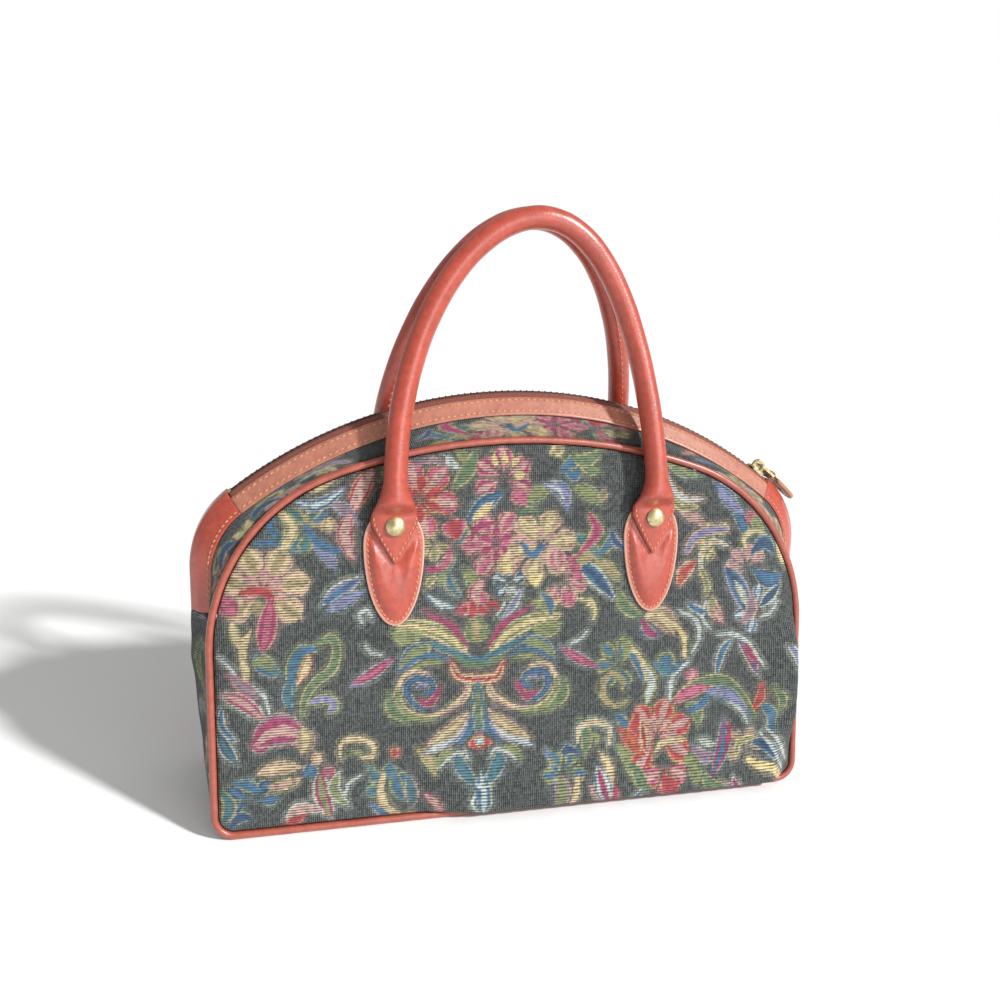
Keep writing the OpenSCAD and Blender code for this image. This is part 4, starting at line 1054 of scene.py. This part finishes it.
# %% [markdown]
# ### Strips
# Seen from its end, the top of the bag is a roof: level at the zip, steeper on the tape, and steepest
# on the trim. Two functions give that section, and the strips hang from its edges. The strip's flat
# cloth takes in the flowers of the panel's upper part, back and forth along its length.

# %% strips between panel and zip
FOLD_IN, TRIM_KNEE, TRIM_OUT = 5.0, 11.52, 21.6
TAPE_SLOPE, TRIM_SLOPE = radians(40), radians(53)
TRIM_FLAT, TRIM_T, STRIP_PUFF = 1.12, 1.4, 1.5
TURN_LEFT = asin((SPLIT_Z / cos(LEAN) - SHOULDER_S) / SHOULDER_R)
SEAM_L = CROWN_R * CROWN_ANGLE + SHOULDER_R * (pi / 2 - CROWN_ANGLE - TURN_LEFT)
STRIP_RUN, STRIP_S, STRIP_WIDE = 240, 150, 34


def zip_slope(run):
    """Slope across the zip at a run from its middle: level, then the tape's, then the trim's."""
    first, second = ease((abs(run) - FOLD_IN + 0.8) / 1.6), ease((abs(run) - TRIM_KNEE + 1.5) / 3)
    return TAPE_SLOPE * first + (TRIM_SLOPE - TAPE_SLOPE) * second


def across_zip(run, n):
    """Place (y, out) at a run across the zip, and at a height n square to its slope there."""
    side, slope = abs(run), zip_slope(run)
    on_tape = np.clip(side - FOLD_IN, 0, TRIM_KNEE - FOLD_IN)
    on_trim = np.maximum(side - TRIM_KNEE, 0)
    level = np.minimum(side, FOLD_IN) + on_tape * cos(TAPE_SLOPE) + on_trim * cos(TRIM_SLOPE)
    y = level + n * np.sin(slope)
    out = n * np.cos(slope) - on_tape * sin(TAPE_SLOPE) - on_trim * sin(TRIM_SLOPE)
    return np.stack(np.broadcast_arrays(np.sign(run) * y, out), -1)


def seam_line(d):
    """Place (x, s) of the top seam at run d from its middle: crown arc, then shoulder arc."""
    run, way = abs(d), np.sign(d)
    crown = CROWN_R * CROWN_ANGLE
    a = np.where(run < crown, run / CROWN_R, CROWN_ANGLE + (run - crown) / SHOULDER_R)
    x = np.where(run < crown, CROWN_R * np.sin(a), SHOULDER_X + SHOULDER_R * np.sin(a))
    s = np.where(run < crown, CROWN_S + CROWN_R * np.cos(a), SHOULDER_S + SHOULDER_R * np.cos(a))
    return way * x, s


def strip_piece(name, node, turn):
    """From the seam up under the trim's edge, by equal shares of both lines, puffed in between."""
    t = np.linspace(-1, 1, int(400 * FINE))[:, None] * (1 - SEAM_GAP / SEAM_L)
    v = np.linspace(0, 1, int(28 * FINE))[None, :]
    x, s = seam_line(t * SEAM_L)
    low = on_front(x, s, -PANEL_INSET - WALL / 2)
    y, out = across_zip(-(TRIM_OUT - 0.6), TRIM_FLAT - TRIM_T / 2 - WALL / 2 - 0.2)
    high = ridge(t * RIDGE_L, out, y)
    outer = low + (high - low) * v[..., None]
    face = grid_normals(outer)
    outer = outer + face * (WALL / 2 + STRIP_PUFF * 4 * v * (1 - v))[..., None]
    back_and_forth = np.abs((t * STRIP_RUN + 180) % 720 - 360) - 180
    flat = np.stack(np.broadcast_arrays(back_and_forth, STRIP_S + STRIP_WIDE * v), -1)
    return wall_piece(name, node, outer, face, flat, turn)


for end, turn in FRONT_AND_BACK:
    strip_piece(end + "_top_strip", end + "_zip_gusset", turn)

# %% [markdown]
# ### Sides and base
# A side gusset comes down from the end patch, where it still has the zip's ridge, bulges as it goes,
# and turns under the bag at the bottom corner. The base between the two lies flat on its board.

# %% side gussets and base
SIDE_BULGE, RIDGE_HALF, CREASE = 11, 0.38, 1.4


def side_piece(name, node, turn):
    """Down and round the corner: a ridge e^-(v/0.38)^2 under the zip widens to a bulge 1 - v^2."""
    foot = WALL / 2 + CORNER_R
    z = np.linspace(SPLIT_Z - SEAM_GAP, foot, int(90 * FINE))
    high = np.maximum(z - SHOULDER_S, 0) / SHOULDER_R
    straight = np.stack([SHOULDER_X + SHOULDER_R * np.sqrt(1 - high ** 2), z], -1)
    path = np.vstack([straight, arc(HALF_W - CORNER_R, foot, CORNER_R, pi / 2, pi, 16)[1:]])
    tilt = np.concatenate([np.full(len(z), pi / 2), np.linspace(pi / 2, pi, 16)[1:]])[:, None]
    x, z = path[:, :1], path[:, 1:]
    v = np.linspace(-1, 1, int(64 * FINE))[None, :]
    rise = np.clip((z - foot) / (SPLIT_Z - foot), 0, 1)
    ridged = (1 - v * v) * (1 - rise) + np.exp(-(v / RIDGE_HALF) ** 2) * rise
    crease = np.exp(-((z - 96 + 10 * v * v) / 9) ** 2) - 0.7 * np.exp(-((z - 46 - 14 * v) / 12) ** 2)
    puff = WALL / 2 + rise ** 0.3 * (SIDE_BULGE + CREASE * crease) * ridged
    half = HALF_DEPTH - z * np.tan(LEAN) - PANEL_INSET * cos(LEAN)
    out, up = x + puff * np.sin(tilt), z + (WALL / 2) * np.cos(tilt)
    outer = np.stack(np.broadcast_arrays(out, half * v, up), -1)
    run = np.concatenate([[0], np.cumsum(np.linalg.norm(np.diff(path, axis=0), axis=1))])[:, None]
    flat = np.stack(np.broadcast_arrays(half * v - 105, 138 - run), -1)
    face = np.stack(np.broadcast_arrays(np.sin(tilt), 0 * v, np.cos(tilt)), -1)
    return wall_piece(name, node, outer, face, flat, turn)


for side, turn in RIGHT_AND_LEFT:
    side_piece(side + "_side_gusset", side + "_gusset", turn)
x = np.linspace(-HALF_W + CORNER_R + SEAM_GAP, HALF_W - CORNER_R - SEAM_GAP, int(140 * FINE))[:, None]
y = np.linspace(-1, 1, int(50 * FINE))[None, :] * (HALF_DEPTH - SEAM_BOTTOM * sin(LEAN) - PANEL_INSET)
under = np.stack(np.broadcast_arrays(x, y, 0 * x), -1)
under_flat = np.stack(np.broadcast_arrays(x, y + 62), -1)
down = np.array([0.0, 0.0, -1.0])
wall_piece("base_tapestry", "base_panel", under, down, under_flat, same)

# %% [markdown]
# ## Zip: tapes, teeth, trims and end patches
# A moulded zip has a tooth on one side, then one on the other, four millimetres apart on each tape.
# A leather trim covers each tape's outer edge with two rows of stitches, and a patch covers each end
# and runs down to the side gusset. All are strips whose section is carried along the zip's line, so
# that they fit one another without being bent there by hand.

# %% tapes and trims
def ridge_sweep(section, start, end, count):
    """A closed section of (y, out) carried along the zip's line from run start to run end."""
    d = np.linspace(start, end, int(count * FINE))[:, None]
    return ridge(d, section[None, :, 1], section[None, :, 0])


def stitch_line(starts, ends, pitch):
    """Runs of the stitches of a row: as many whole pitches as fit between two runs."""
    count = int((ends - starts) / pitch)
    return starts + (ends - starts) * (np.arange(count) + 0.5) / count


def ridge_stitches(run, start, end, pitch):
    """A row of stitches along the zip's line, on the leather at a run across the zip."""
    d = stitch_line(start, end, pitch)
    y, out = across_zip(run, TRIM_FLAT + TRIM_T / 2 + 0.1)
    tilt = zip_slope(run)
    up = ridge_up(d) * cos(tilt) + np.array([0, sin(tilt) * np.sign(y), 0])
    spots, along = ridge(d, out, y), ridge_along(d)
    return stitch_row(spots, along, up, length=pitch * 0.72, radius=0.55, slant=radians(12))


def stitch_piece(name, turn, *rows, body="bag"):
    """Rows of stitches as one piece of thread, on the front or turned to another side."""
    points, faces = join(*rows)
    return make_piece(name, turn(points), faces, thread, body=body, slot="tan_leather")


STITCH_PITCH = 4.0
TRIM_ROWS = (-11.6, -19.0)
TRIM_EDGE = TRIM_OUT - 0.7
tape_section = band(across_zip(np.linspace(-2.9, -11.3, 12), 0.0), 0.6, 2)
trim_section = band(across_zip(np.linspace(-9.9, -TRIM_EDGE, 16), TRIM_FLAT), TRIM_T)
for end, turn in FRONT_AND_BACK:
    tape, trim = (turn(ridge_sweep(part, -ZIP_L, ZIP_L, 260)) for part in (tape_section, trim_section))
    make_piece(end + "_woven_tape", *loft(tape), zip_cloth, slot="zip_tape", nodes=[end + "_zip_tape"])
    make_piece(end + "_leather_trim", *loft(trim), trim_leather, nodes=[end + "_zip_trim"])
    rows = [ridge_stitches(run, -ZIP_L + 2, ZIP_L - 2, STITCH_PITCH) for run in TRIM_ROWS]
    stitch_piece(end + "_trim_stitches", turn, *rows)

# %% [markdown]
# ### Teeth
# Each tooth is moulded round a cord at the edge of the tape: a stem, and a head that reaches past the
# middle, between two teeth of the other side. One tooth is skinned and copied along the arc, which is
# far lighter than modelling each. The two rows are half a pitch apart, so they interleave.

# %% teeth
TOOTH_PITCH, TOOTH_T, TOOTH_W, CORD_R, CORD_OUT = 4.0, 2.2, 1.3, 0.7, 2.0
tooth_run = ZIP_L - 2.3
tooth_count = int(2 * tooth_run / TOOTH_PITCH - 1)
square = np.array([[1, 0.5], [0.5, 1], [-0.5, 1], [-1, 0.5], [-1, -0.5], [-0.5, -1], [0.5, -1], [1, -0.5]])
reach = np.array([2.6, 2.3, 0.2, -0.6, -0.9])[:, None]
fat = np.array([0.7, 1.0, 0.9, 0.85, 0.5])[:, None]
wide, thick = square[:, 0] * fat * TOOTH_W / 2, square[:, 1] * fat * TOOTH_T / 2
tooth = np.stack(np.broadcast_arrays(wide, reach, thick), -1)
b = 2 * pi * np.arange(8) / 8
cord_section = np.array([CORD_OUT, 0.0]) + CORD_R * np.stack([np.cos(b), np.sin(b)], -1)
for side, sign, phase in (("front", -1.0, -0.25), ("back", 1.0, 0.25)):
    d = (np.arange(tooth_count) - (tooth_count - 1) / 2 + phase) * TOOTH_PITCH
    across = np.tile([0.0, sign, 0.0], (len(d), 1))
    row = copies(*loft(tooth), ridge(d, 0.0, 0.0), ridge_along(d) * sign, across, ridge_up(d))
    cord = loft(ridge_sweep(cord_section * [sign, 1.0], -tooth_run, tooth_run, 240))
    chain = join(outward(*cord), outward(*row))
    make_piece(side + "_moulded_teeth", *chain, acetal, slot="zip_teeth", nodes=[side + "_zip_teeth"])

# %% [markdown]
# ### End patches
# Where the zip ends, one broad piece of leather is folded over the ridge and sewn down on both
# sides. It has the section of the two trims joined, so it lies on the same roof.

# %% end patches
patch_section = band(across_zip(np.linspace(-TRIM_EDGE, TRIM_EDGE, 49), TRIM_FLAT), TRIM_T)
patch_start, patch_end = ZIP_L + SEAM_GAP, RIDGE_L - SEAM_GAP
for side, turn in RIGHT_AND_LEFT:
    patch = turn(ridge_sweep(patch_section, patch_start, patch_end, 70))
    make_piece(side + "_end_patch", *loft(patch), red_leather, nodes=[side + "_zip_patch"])
    rows = [ridge_stitches(run, patch_start + 1, patch_end - 2, STITCH_PITCH)
            for run in (TRIM_ROWS[1], -TRIM_ROWS[1])]
    stitch_piece(side + "_patch_stitches", turn, *rows)

# %% [markdown]
# ## Tabs under the handles
# Each handle is sewn and riveted to a padded leaf of leather. The leaf's outline is half an ellipse
# above and half a longer one below. Rings run inwards from its cut edge: the edge is raw and pale, then
# comes the groove of the stitches, and then the pad, which swells below the foot of the handle.

# %% leather tabs
RIVET_S, HANDLE_X = 186.0, 82.0
TAB_N, TAB_HALF, TAB_WIDEST, TAB_TOP, TAB_LOW = 5.12, 18.25, -12.0, 23.0, 49.0
FOOT_N, FOOT_DOWN, FOOT_SHOULDER, FOOT_HALF = 7.64, 23.0, 3.4, 14.5


def tab_outline(count):
    """Half width w sqrt(1 - q^2), with q from 0 at the widest line to 1 at the top and at the tip."""
    a = np.linspace(0, pi, 400)
    q = np.cos(a)
    right = np.stack([TAB_HALF * np.sin(a), TAB_WIDEST + np.where(q > 0, TAB_TOP, TAB_LOW) * q], -1)
    return resample(np.vstack([right, right[-2:0:-1] * [-1, 1]]), count, closed=True)


def drawn_in(outline, inset):
    """The outline moved inwards by the inset, held off the middle line so that it can't cross it."""
    way = loop_way(outline)
    moved = outline + np.stack([way[:, 1], -way[:, 0]], -1) * inset
    return np.stack([np.where(moved[:, 0] * outline[:, 0] < 0, 0, moved[:, 0]), moved[:, 1]], -1)


def to_tip(up):
    """Share of the way down the foot at a height from the rivet: 0 at its shoulder, 1 at its point."""
    return np.clip((FOOT_SHOULDER - up) / (FOOT_SHOULDER + FOOT_DOWN), 0, 1)


def foot_half(up):
    """Half width of the handle's foot at a height from the rivet: pointed below, flaring above."""
    below = FOOT_HALF - (FOOT_HALF - 0.8) * to_tip(up) ** 1.2
    above = FOOT_HALF - (FOOT_HALF - 7) * ease((up - FOOT_SHOULDER + 2) / 26)
    return np.where(up < FOOT_SHOULDER, below, above)


# Each ring of the leaf: its inset, its scale about the leaf's heart, its height, its share of raw edge.
TAB_RINGS = np.array([
    (0.0, 0.5, 0.0, 0.0), (0.5, 1.0, 0.0, 0.0), (0.0, 1.0, 0.4, 1.0), (0.0, 1.0, 1.1, 1.0),
    (0.35, 1.0, 1.5, 0.7), (1.2, 1.0, 1.6, 0.15), (2.3, 1.0, 1.25, 0.0), (3.4, 1.0, 1.7, 0.0),
    (3.4, 0.9, 2.1, 0.0), (3.4, 0.75, 2.35, 0.0), (3.4, 0.5, 2.4, 0.0), (3.4, 0.2, 2.4, 0.0)])
TAB_HEART, PAD_RISE, PAD_FROM = np.array([0.0, -22.0]), 2.3, 1.6


def tab_rings(outline):
    """The leaf's rings, from the back over the cut edge to its heart, and the swelling of the pad."""
    rings = []
    for inset, scale, height in TAB_RINGS[:, :3]:
        flat = TAB_HEART + (drawn_in(outline, inset) - TAB_HEART) * scale
        foot_edge = -FOOT_DOWN + 1.9 * (np.sqrt(flat[:, 0] ** 2 + 25) - 5)
        clear = ease((foot_edge - 1 - flat[:, 1]) / 8)
        pad = PAD_RISE * clear * ease((height - PAD_FROM) / 0.8) * (height > PAD_FROM)
        rings.append(np.column_stack([flat, height + pad]))
    return np.array(rings)


SEWN_IN, SEWN_N = 2.5, 1.45
outline = tab_outline(int(180 * FINE))
leaf = tab_rings(outline)
raw_edge = np.tile(TAB_RINGS[:, 3, None, None], (1, len(outline), 1))
sewn = drawn_in(tab_outline(50), SEWN_IN)
sewn_way = loop_way(sewn)
shown = (abs(sewn[:, 0]) > foot_half(sewn[:, 1]) + 0.8) | (sewn[:, 1] < -FOOT_DOWN - 1)
sewn, sewn_way = sewn[shown], sewn_way[shown]
for end, turn in FRONT_AND_BACK:
    for side, x in (("left", -HANDLE_X), ("right", HANDLE_X)):
        place = turn(on_front(x + leaf[..., 0], RIVET_S + leaf[..., 1], TAB_N + leaf[..., 2]))
        tab = make_piece(f"{end}_{side}_leather_tab", *loft(place), red_leather,
                         nodes=[f"{end}_{side}_tab"], edge=with_ends(raw_edge))
        spots, ahead = (on_front(x + line[:, 0], RIVET_S + line[:, 1], TAB_N + SEWN_N)
                        for line in (sewn, sewn + sewn_way))
        up = np.tile([0.0, -cos(LEAN), sin(LEAN)], (len(spots), 1))
        row = stitch_row(spots, ahead - spots, up, length=2.5, radius=0.55, slant=radians(25))
        stitch_piece(f"{end}_{side}_tab_stitches", turn, row)

# %% [markdown]
# ## Handles
# A handle is one strip of leather rolled round a cord core. Below the necks it is left flat, flares
# and is cut to a point, and there the rivet goes through. So it is one skin: flat sections climb from
# the left point, turn round at the neck, follow the arch, and flatten again on the right.

# %% rolled handles
HANDLE_R, NECK_UP, HANDLE_RISE, HANDLE_SWAY, HANDLE_TUCK = 7.0, 15.0, 167.0, 9.0, 7.0
LAY_GAP, APEX_Y, FOOT_THICK, FOOT_THINNER = 0.12, 8, 5.06, 2.9
NECK_S = RIVET_S + NECK_UP
NECK_N = FOOT_N + HANDLE_R + LAY_GAP
APEX_N = -(HALF_DEPTH - APEX_Y - (NECK_S + HANDLE_RISE) * sin(LEAN)) / cos(LEAN)
ROUND, ROUND_FROM = int(36 * FINE), 5.5


def handle_line(a):
    """Half an ellipse from neck to neck, swayed to the right and leaning in over the crown."""
    q = np.maximum(np.sin(a), 0)
    n = NECK_N + (APEX_N - NECK_N) * q ** 1.7 - HANDLE_TUCK * 5.4 * q ** 1.5 * (1 - q)
    return np.stack([-HANDLE_X * np.cos(a) + HANDLE_SWAY * q * q, NECK_S + HANDLE_RISE * q, n], -1)


def arch_rings(count):
    """Circles square to the line, uneven by a hair, that widen towards the feet."""
    a = np.linspace(0, pi, count)
    line = handle_line(a)
    way = unit(np.gradient(line, axis=0))
    way[0], way[-1] = (0, 1, 0), (0, -1, 0)
    side = unit(np.cross(way, [0.0, 0.0, 1.0]))
    up = np.cross(side, way)
    b = (2 * pi * np.arange(ROUND) / ROUND)[None, :, None]
    r = HANDLE_R * (1 + 0.012 * np.sin(23 * a) * np.sin(7 * a))[:, None, None]
    flare = (foot_half(line[:, 1] - RIVET_S) / HANDLE_R)[:, None, None]
    return line[:, None] + r * (side[:, None] * np.cos(b) * flare + up[:, None] * np.sin(b))


def foot_rings(count):
    """From the point up to the neck: a flat-backed dome whose section turns round near the neck."""
    up = np.linspace(-FOOT_DOWN, NECK_UP, count, endpoint=False)[:, None]
    b = 2 * pi * np.arange(ROUND)[None, :] / ROUND
    thick = FOOT_THICK - FOOT_THINNER * to_tip(up)
    dome = np.where(np.sin(b) > 0, np.maximum(np.sin(b), 0) ** 0.45 * thick, 0)
    turn = ease((up - ROUND_FROM) / (NECK_UP - ROUND_FROM))
    x = foot_half(up) * np.cos(b)
    n = FOOT_N + dome * (1 - turn) + (LAY_GAP + HANDLE_R + HANDLE_R * np.sin(b)) * turn
    return np.stack(np.broadcast_arrays(x, up + RIVET_S, n), -1)


def handle_piece(end, turn):
    """Foot, arch and foot as one skin, from the left point round the arch to the right point."""
    body, nodes = end + "_handle", [end + part for part in ("_handle", "_left_foot", "_right_foot")]
    foot = foot_rings(int(44 * FINE))
    left = foot + [-HANDLE_X, 0, 0]
    right = (foot * [-1, 1, 1] + [HANDLE_X, 0, 0])[::-1]
    rings = np.concatenate([left, arch_rings(int(190 * FINE)), right])
    rings = turn(on_front(rings[..., 0], rings[..., 1], rings[..., 2]))
    piece = make_piece(end + "_rolled_handle", *loft(rings), red_leather, body=None, nodes=nodes)
    start, end = (turn(on_front(0.0, NECK_S + d, NECK_N)) * MM for d in (-9.0, 12.0))
    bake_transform(piece)
    return piece


for end, turn in FRONT_AND_BACK:
    handle_piece(end, turn)

# %% [markdown]
# ### Seams of the handles
# The rolled strip is closed by a seam along the arch, on the side that faces the other handle. Two
# more rows run down each foot to its point, where the leather is sewn to the tab. The seam swings
# with the handle, and the rows on the feet stay with the bag.

# %% seam along the arch
seam_middle = handle_line(np.linspace(0.3, pi - 0.3, 96))
seam_way = unit(np.gradient(seam_middle, axis=0))
seam_in = -unit(np.cross(unit(np.cross(seam_way, [0.0, 0.0, 1.0])), seam_way))
seam_spots = seam_middle + seam_in * HANDLE_R
for end, turn in FRONT_AND_BACK:
    spots, ahead, inward = (on_front(*(seam_spots + move).T) for move in (0 * seam_in, seam_way, seam_in))
    row = stitch_row(spots, ahead - spots, inward - spots, length=2.6, radius=0.5, slant=radians(15))
    stitch_piece(end + "_handle_stitches", turn, row, body=end + "_handle")

# %% stitches on the pointed feet
side_up = np.linspace(-FOOT_DOWN + 3.0, 4.0, 9)
for end, turn in FRONT_AND_BACK:
    rows = []
    for x in (-HANDLE_X, HANDLE_X):
        for way in (-1, 1):
            inset = foot_half(side_up) - 1.7
            share = inset / foot_half(side_up)
            n = FOOT_N + (1 - share ** 2) ** 0.225 * (FOOT_THICK - FOOT_THINNER * to_tip(side_up))
            spots = on_front(x + way * inset, RIVET_S + side_up, n + 0.1)
            along = unit(np.gradient(spots, axis=0))
            up = unit(np.cross(along, np.cross([way * 0.5, -cos(LEAN), sin(LEAN)], along)))
            rows.append(stitch_row(spots, along, up, length=2.4, radius=0.5, slant=way * radians(20)))
    stitch_piece(end + "_foot_stitches", turn, *rows)

# %% [markdown]
# ## Zip pull
# Two layers of tan leather, folded round the bar of the link and sewn together, widen to a tab with a
# round end and a slot right through. The tab is a ring that runs from the outer edge over the top to
# the slot and back underneath; the fold is a flat strip carried round the bar.

# %% zip pull
STOP_L, SLIDER_HALF, SLIDER_TOP, BAIL_OUT, LINK_L = 2, 6, 1.5 + 1.2, 4.8 - 1.6, 10.4
SLIDER_ANGLE = ZIP_ANGLE - (STOP_L + SEAM_GAP) / ZIP_R - (SLIDER_HALF + SEAM_GAP) / ZIP_R
PULL_AXIS_R = ZIP_R + SLIDER_TOP + BAIL_OUT
LINK_WAY = SLIDER_ANGLE + radians(3)
PULL_WAY = LINK_WAY + radians(4)
HINGE = np.array([PULL_AXIS_R * sin(SLIDER_ANGLE), 0, RIDGE_Z - ZIP_R + PULL_AXIS_R * cos(SLIDER_ANGLE)])
FOLD = HINGE + LINK_L * np.array([cos(LINK_WAY), 0, -sin(LINK_WAY)])
NECK_L, PULL_L, PULL_HALF, PULL_T, SLOT_HALF, SLOT_L = 4.32, 25.0, 8.0, 1.4, 1.8, 9
BAR_R, CORNER, FOLD_HALF = 1.32, 2.0, 5
# Across the tab, from the outer edge to the slot: the share of the way there, and the height.
PULL_SHARES = np.array([0, 0, 0.06, 0.2, 0.5, 0.94, 1, 1])
PULL_HEIGHTS = np.array([0.2, 0.95, 1.25, 1.15, 1.4, 1.35, 1.0, 0.2])


def on_pull(points):
    """From the pull's own frame, x along it, y across, z out, to the bag's."""
    axes = np.array([[cos(PULL_WAY), 0, -sin(PULL_WAY)], [0, 1, 0], [sin(PULL_WAY), 0, cos(PULL_WAY)]])
    return FOLD + sum(points[..., i:i + 1] * axes[i] for i in range(3))


def pull_loop(half, start, end, count):
    """Outline of the tab or its slot: straight sides, and half a circle at the free end."""
    a = np.linspace(-pi / 2, pi / 2, 40)
    tip = np.stack([end - half + half * np.cos(a), half * np.sin(a)], -1)
    if half < 3:
        tail = np.stack([start + half - half * np.cos(a), -half * np.sin(a)], -1)
    else:
        c = np.linspace(0, pi / 2, 10)
        sine, cosine, middle = CORNER * np.sin(c), CORNER * np.cos(c), start + CORNER
        tail = np.vstack([np.stack([middle - sine, half - CORNER + cosine], -1),
                          np.stack([middle - cosine, -half + CORNER - sine], -1)])
    return resample(np.vstack([tip, tail]), count, closed=True)


def pull_piece():
    """Rings from the tab's outer edge over the top to the slot and back below, and the fold's strip."""
    outer = pull_loop(PULL_HALF, NECK_L, PULL_L, 96)
    slot = pull_loop(SLOT_HALF, NECK_L + SLOT_HALF, NECK_L + SLOT_L + SLOT_HALF, 96)
    shares = np.concatenate([PULL_SHARES, PULL_SHARES[::-1]])
    heights = np.concatenate([PULL_HEIGHTS, -PULL_HEIGHTS[::-1]])
    flat = outer[None] + (slot - outer)[None] * shares[:, None, None]
    ring = np.concatenate([flat, np.broadcast_to(heights[:, None, None], (*flat.shape[:2], 1))], -1)
    a = np.linspace(0, 2 * pi, 30)[1:-1]
    r = BAR_R + PULL_T / 2
    bend = np.stack([r * np.cos(a), r * np.sin(a)], -1)[2:-2]
    path = np.vstack([[NECK_L + 2.5, 0.72], [3.2, 0.78], bend, [3.2, -0.78], [NECK_L + 2.5, -0.72]])
    way = unit(np.gradient(path, axis=0))
    across = np.stack([-way[:, 1], way[:, 0]], -1)
    b = 2 * pi * np.arange(16) / 16
    y, t = (np.sign(f(b)) * abs(f(b)) ** 0.35 for f in (np.cos, np.sin))
    x, z = (path[:, None, i] + across[:, None, i] * t * PULL_T / 2 for i in (0, 1))
    strip = np.stack(np.broadcast_arrays(x, y * FOLD_HALF, z), -1)
    points, faces = join(outward(*loft(ring, loop=True)), outward(*loft(strip)))
    edge = np.zeros(len(points))
    edge[:ring.shape[0] * ring.shape[1]] = np.repeat((shares < 0.03) | (shares > 0.97), ring.shape[1])
    return make_piece("leather_zip_pull", on_pull(points), faces, pull_leather, body="zip_pull",
                      slot="tan_leather", nodes=["zip_pull"], edge=edge * 0.6)


pull_piece()
sewn = drawn_in(pull_loop(PULL_HALF, NECK_L, PULL_L, 21)[::-1], 1.9)
sewn = np.column_stack([sewn, np.full(len(sewn), 1.2)])
spots = on_pull(sewn)
along = loop_way(spots)
up = np.tile(on_pull(np.array([[0.0, 0.0, 1.0]]))[0] - FOLD, (len(spots), 1))
under = on_pull(sewn * [1, 1, -1])
rows = [stitch_row(line, along, way, length=2.1, radius=0.34) for line, way in ((spots, up), (under, -up))]
stitch_piece("pull_stitches", same, *rows, body="zip_pull")

# %% [markdown]
# ## Floor and light
# A white floor and a soft studio: a low broad lamp in front gives the leather its pale sheen, a sun
# from the right, in front and above throws the handles' shadows to the left as in the photograph,
# and a white room fills the rest. A sun lights the whole floor evenly.

# %% floor
FLOOR_REACH, FLOOR_DROP = 6.0, 0.0006
floor_mesh = bpy.data.meshes.new("floor")
square = ((-1, -1), (1, -1), (1, 1), (-1, 1))
corners = [(FLOOR_REACH * x, FLOOR_REACH * y, -FLOOR_DROP) for x, y in square]
floor_mesh.from_pydata(corners, [], [(0, 1, 2, 3)])
floor_finish, _, floor_shader = finish("white_paper")
floor_shader.inputs["Base Color"].default_value = linear("#fbfbfa")
floor_shader.inputs["Roughness"].default_value = 0.9
floor_mesh.materials.append(floor_finish)
floor = bpy.data.objects.new("floor", floor_mesh)
bpy.context.scene.collection.objects.link(floor)
print("floor reaches", FLOOR_REACH, "m each way")

# %% lamps and room
ROOM_LIGHT = 0.4
SUN_ANGLE, FRONT_SIZE = radians(5), 0.9
LAMPS = [("sun", "SUN", (1.0, -1.0, 1.1), 3.9), ("front", "AREA", (0.5, -1.8, 0.55), 8.0)]
AIM = np.array([0.0, 0.0, 0.15])
for name, kind, place, power in LAMPS:
    lamp = bpy.data.lights.new(name, kind)
    lamp.energy = power
    if kind == "SUN":
        lamp.angle = SUN_ANGLE
    else:
        lamp.size = FRONT_SIZE
    stand = bpy.data.objects.new(name, lamp)
    stand.location = place
    ray = unit(AIM - np.array(place))
    stand.rotation_euler = (np.arccos(-ray[2]), 0, atan2(-ray[0], ray[1]))
    bpy.context.scene.collection.objects.link(stand)
room = bpy.data.worlds.new("room")
room.use_nodes = True
glow = room.node_tree.nodes["Background"]
glow.inputs["Color"].default_value = (1, 1, 1, 1)
seen = add(room.node_tree, "LightPath").outputs["Is Camera Ray"]
level = add(room.node_tree, "MapRange", {"Value": seen, 3: ROOM_LIGHT, 4: 1.0}).outputs[0]
room.node_tree.links.new(level, glow.inputs["Strength"])
bpy.context.scene.world = room
bpy.context.scene.view_settings.view_transform = "Standard"
print("lamps:", ", ".join(lamp[0] for lamp in LAMPS))
